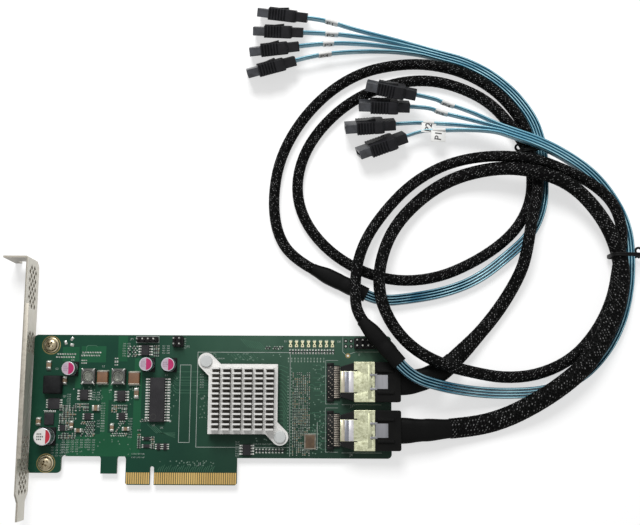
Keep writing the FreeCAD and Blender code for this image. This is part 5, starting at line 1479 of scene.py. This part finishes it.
def ports():
    """Fittings of the two ports: tail block over the terminals, bands of painted light and shade on the bent
    tongue, and the cage's fold in a copy of its plate with painted shade.
    """
    dark, bands = Shape(), Shape()
    top = spread_of(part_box("port_terminals"))[4] + 0.05
    for side, port in PORT_UP.items():
        dark.block(at(140.6, port), (6.0, 15.6, top - 0.12), 0.1)
        for way in BOTH_WAYS:
            dark.block(at(139.2, port + way * 8.3), (3.2, 1.3, top + 0.2), 0.1)
        for step in range(18):
            up = port + (step - 8.5) * 0.82
            bands.block(at(142.2, up), (2.6, 0.46, top + 0.04), 0.05, 4)
            bands.block(at(138.5 + 0.8 * (step * 5 % 3), up), (0.55, 0.34, top - 0.06), 0.04, 4)
        roof = above_board(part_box("port_cage_" + side)[1].z)
        # Bands across the tongue, whose colours paint the light and shade of its bend.
        for left, right, finish in ((144.2, 145.7, 0), (145.7, 147.6, 1), (147.6, 149.8, 2)):
            bands.block(at((left + right) / 2, port, roof - 0.06), (right - left, 9.5, 0.14), 0.05, finish)
        # The cage's bent band, in a second copy of its plate: painted shade of the bend.
        bands.block(at(157.2, port, roof - 0.04), (1.7, 15.8, 0.12), 0.05, 3)
        for way in BOTH_WAYS:
            dark.block(at(150.6, port + way * 5.0, roof - 0.05), (1.8, 0.4, 0.08))
            bands.block(at(158.9, port + way * 3.1, roof - 0.04), (1.6, 0.7, 0.3), 0.1, 3)
            dark.block(at(158.2, port + way * 2.2, roof - 0.05), (0.35, 1.1, 0.16))
            dark.block(at(158.2, port + way * 3.9, roof - 0.05), (0.35, 0.5, 0.16))
    piece("port_tails", dark, "housing")
    piece("port_bands", bands, "warm steel_blue pale cage_fold terminal")


def chip_marks():
    """Moulded dimples of the memory chip, and the bare holes beside the wide header."""
    marks = Shape()
    top = above_board(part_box("memory_chip")[1].z) + 0.006
    marks.ring(at(57.4, 31.0, top), 1.148, 1.4)
    marks.ring(at(61.2, 29.6, top), 0.0, 0.35)
    for column in range(2):
        for row in range(2):
            foot = at(146.4 + column * 2.54, 64.0 + row * 2.54, PAD)
            marks.ring(foot, 0.45, 0.95, 1)
            marks.ring(foot, 0.0, 0.45, 2)
    hole = at(147.4, 59.6, PAD)
    marks.ring(hole, 0.0, 0.5, 4)
    marks.ring(hole, 0.5, 1.15, 3)
    piece("chip_marks", marks, "dimple housing tin ring paper")


def underside():
    """Solder points where pins come through the board, and rings round the screw holes."""
    shape = Shape()
    pins = solids_of("wide_header_pins") + solids_of("small_header_pins")
    spots = [spread_of(box)[:2] for box in pins]
    spots += [(147.0 + step * 1.6, port + way * 8.2)
              for port in PORT_UP.values() for step in range(8) for way in BOTH_WAYS]
    over = Matrix.Rotation(math.pi, 4, "X")
    for x, y in spots:
        shape.turned(at(x, y, -BOARD_THICK) @ over, [(0.85, 0.0), (0.6, 0.25), (0.35, 0.7), (0.2, 1.1)], 12)
    for x, y in ((8.1, 64.0), (8.1, 9.6)):
        shape.turned(at(x, y, -BOARD_THICK) @ over, [(4.1, 0.0), (4.05, 0.05), (1.8, 0.06)], 32, False)
    piece("solder_points", shape, "tin")


for make in (copper, ink, small_parts, vias, chip_leads, soldered_ends, screws, cans, drums, ports,
             chip_marks, underside):
    make()

# CAD nodes that are shown with softened edges: width of the edge, finish, slot
SOFT_NODES = {
    "heat_sink": (0.12, "sink", "sink_aluminium"), "sink_push_pins": (0.35, "push", "push_pin_plastic"),
    "memory_chip": (0.12, "chip", "chip_black"), "small_chips": (0.12, "chip", "chip_black"),
    "power_packages": (0.1, "chip", "chip_black"), "filter_choke": (0.5, "choke", "choke_black"),
    "port_housing_upper": (0.25, "housing", "port_black"),
    "port_housing_lower": (0.25, "housing", "port_black"),
    "port_cage_upper": (0.12, "cage", "cage_tin"), "port_cage_lower": (0.12, "cage", "cage_tin"),
    "inductor_frames": (0.15, "ferrite", "ferrite_grey"),
    "ceramic_capacitors": (0.15, "brown", "ceramic_tan"),
    "wide_header": (0.15, "housing", "header_black"), "small_headers": (0.15, "housing", "header_black"),
    "capacitor_bases": (0.2, "housing", "base_black"),
    "oscillator_lid": (0.12, "crystal", "oscillator_metal"),
    "status_lamps": (0.1, "lamp", "lamp_resin"), "mounting_bracket": (0.1, "bracket", "bracket_steel"),
}
for node, (edge, finish, slot) in SOFT_NODES.items():
    softened(node, edge, finish)


# Finishes of the CAD nodes that stay

NODE_FINISH = {
    "circuit_board": "mask", "edge_contacts": "gold", "wide_header_pins": "tin", "small_header_pins": "tin",
    "thermal_pad": "pad", "controller_chip": "chip", "port_terminals": "tin", "chip_capacitors": "tan",
    "chip_resistors": "black", "oscillator_case": "terminal",
}
for node, finish in NODE_FINISH.items():
    dressed(NODES[node].data, finish)
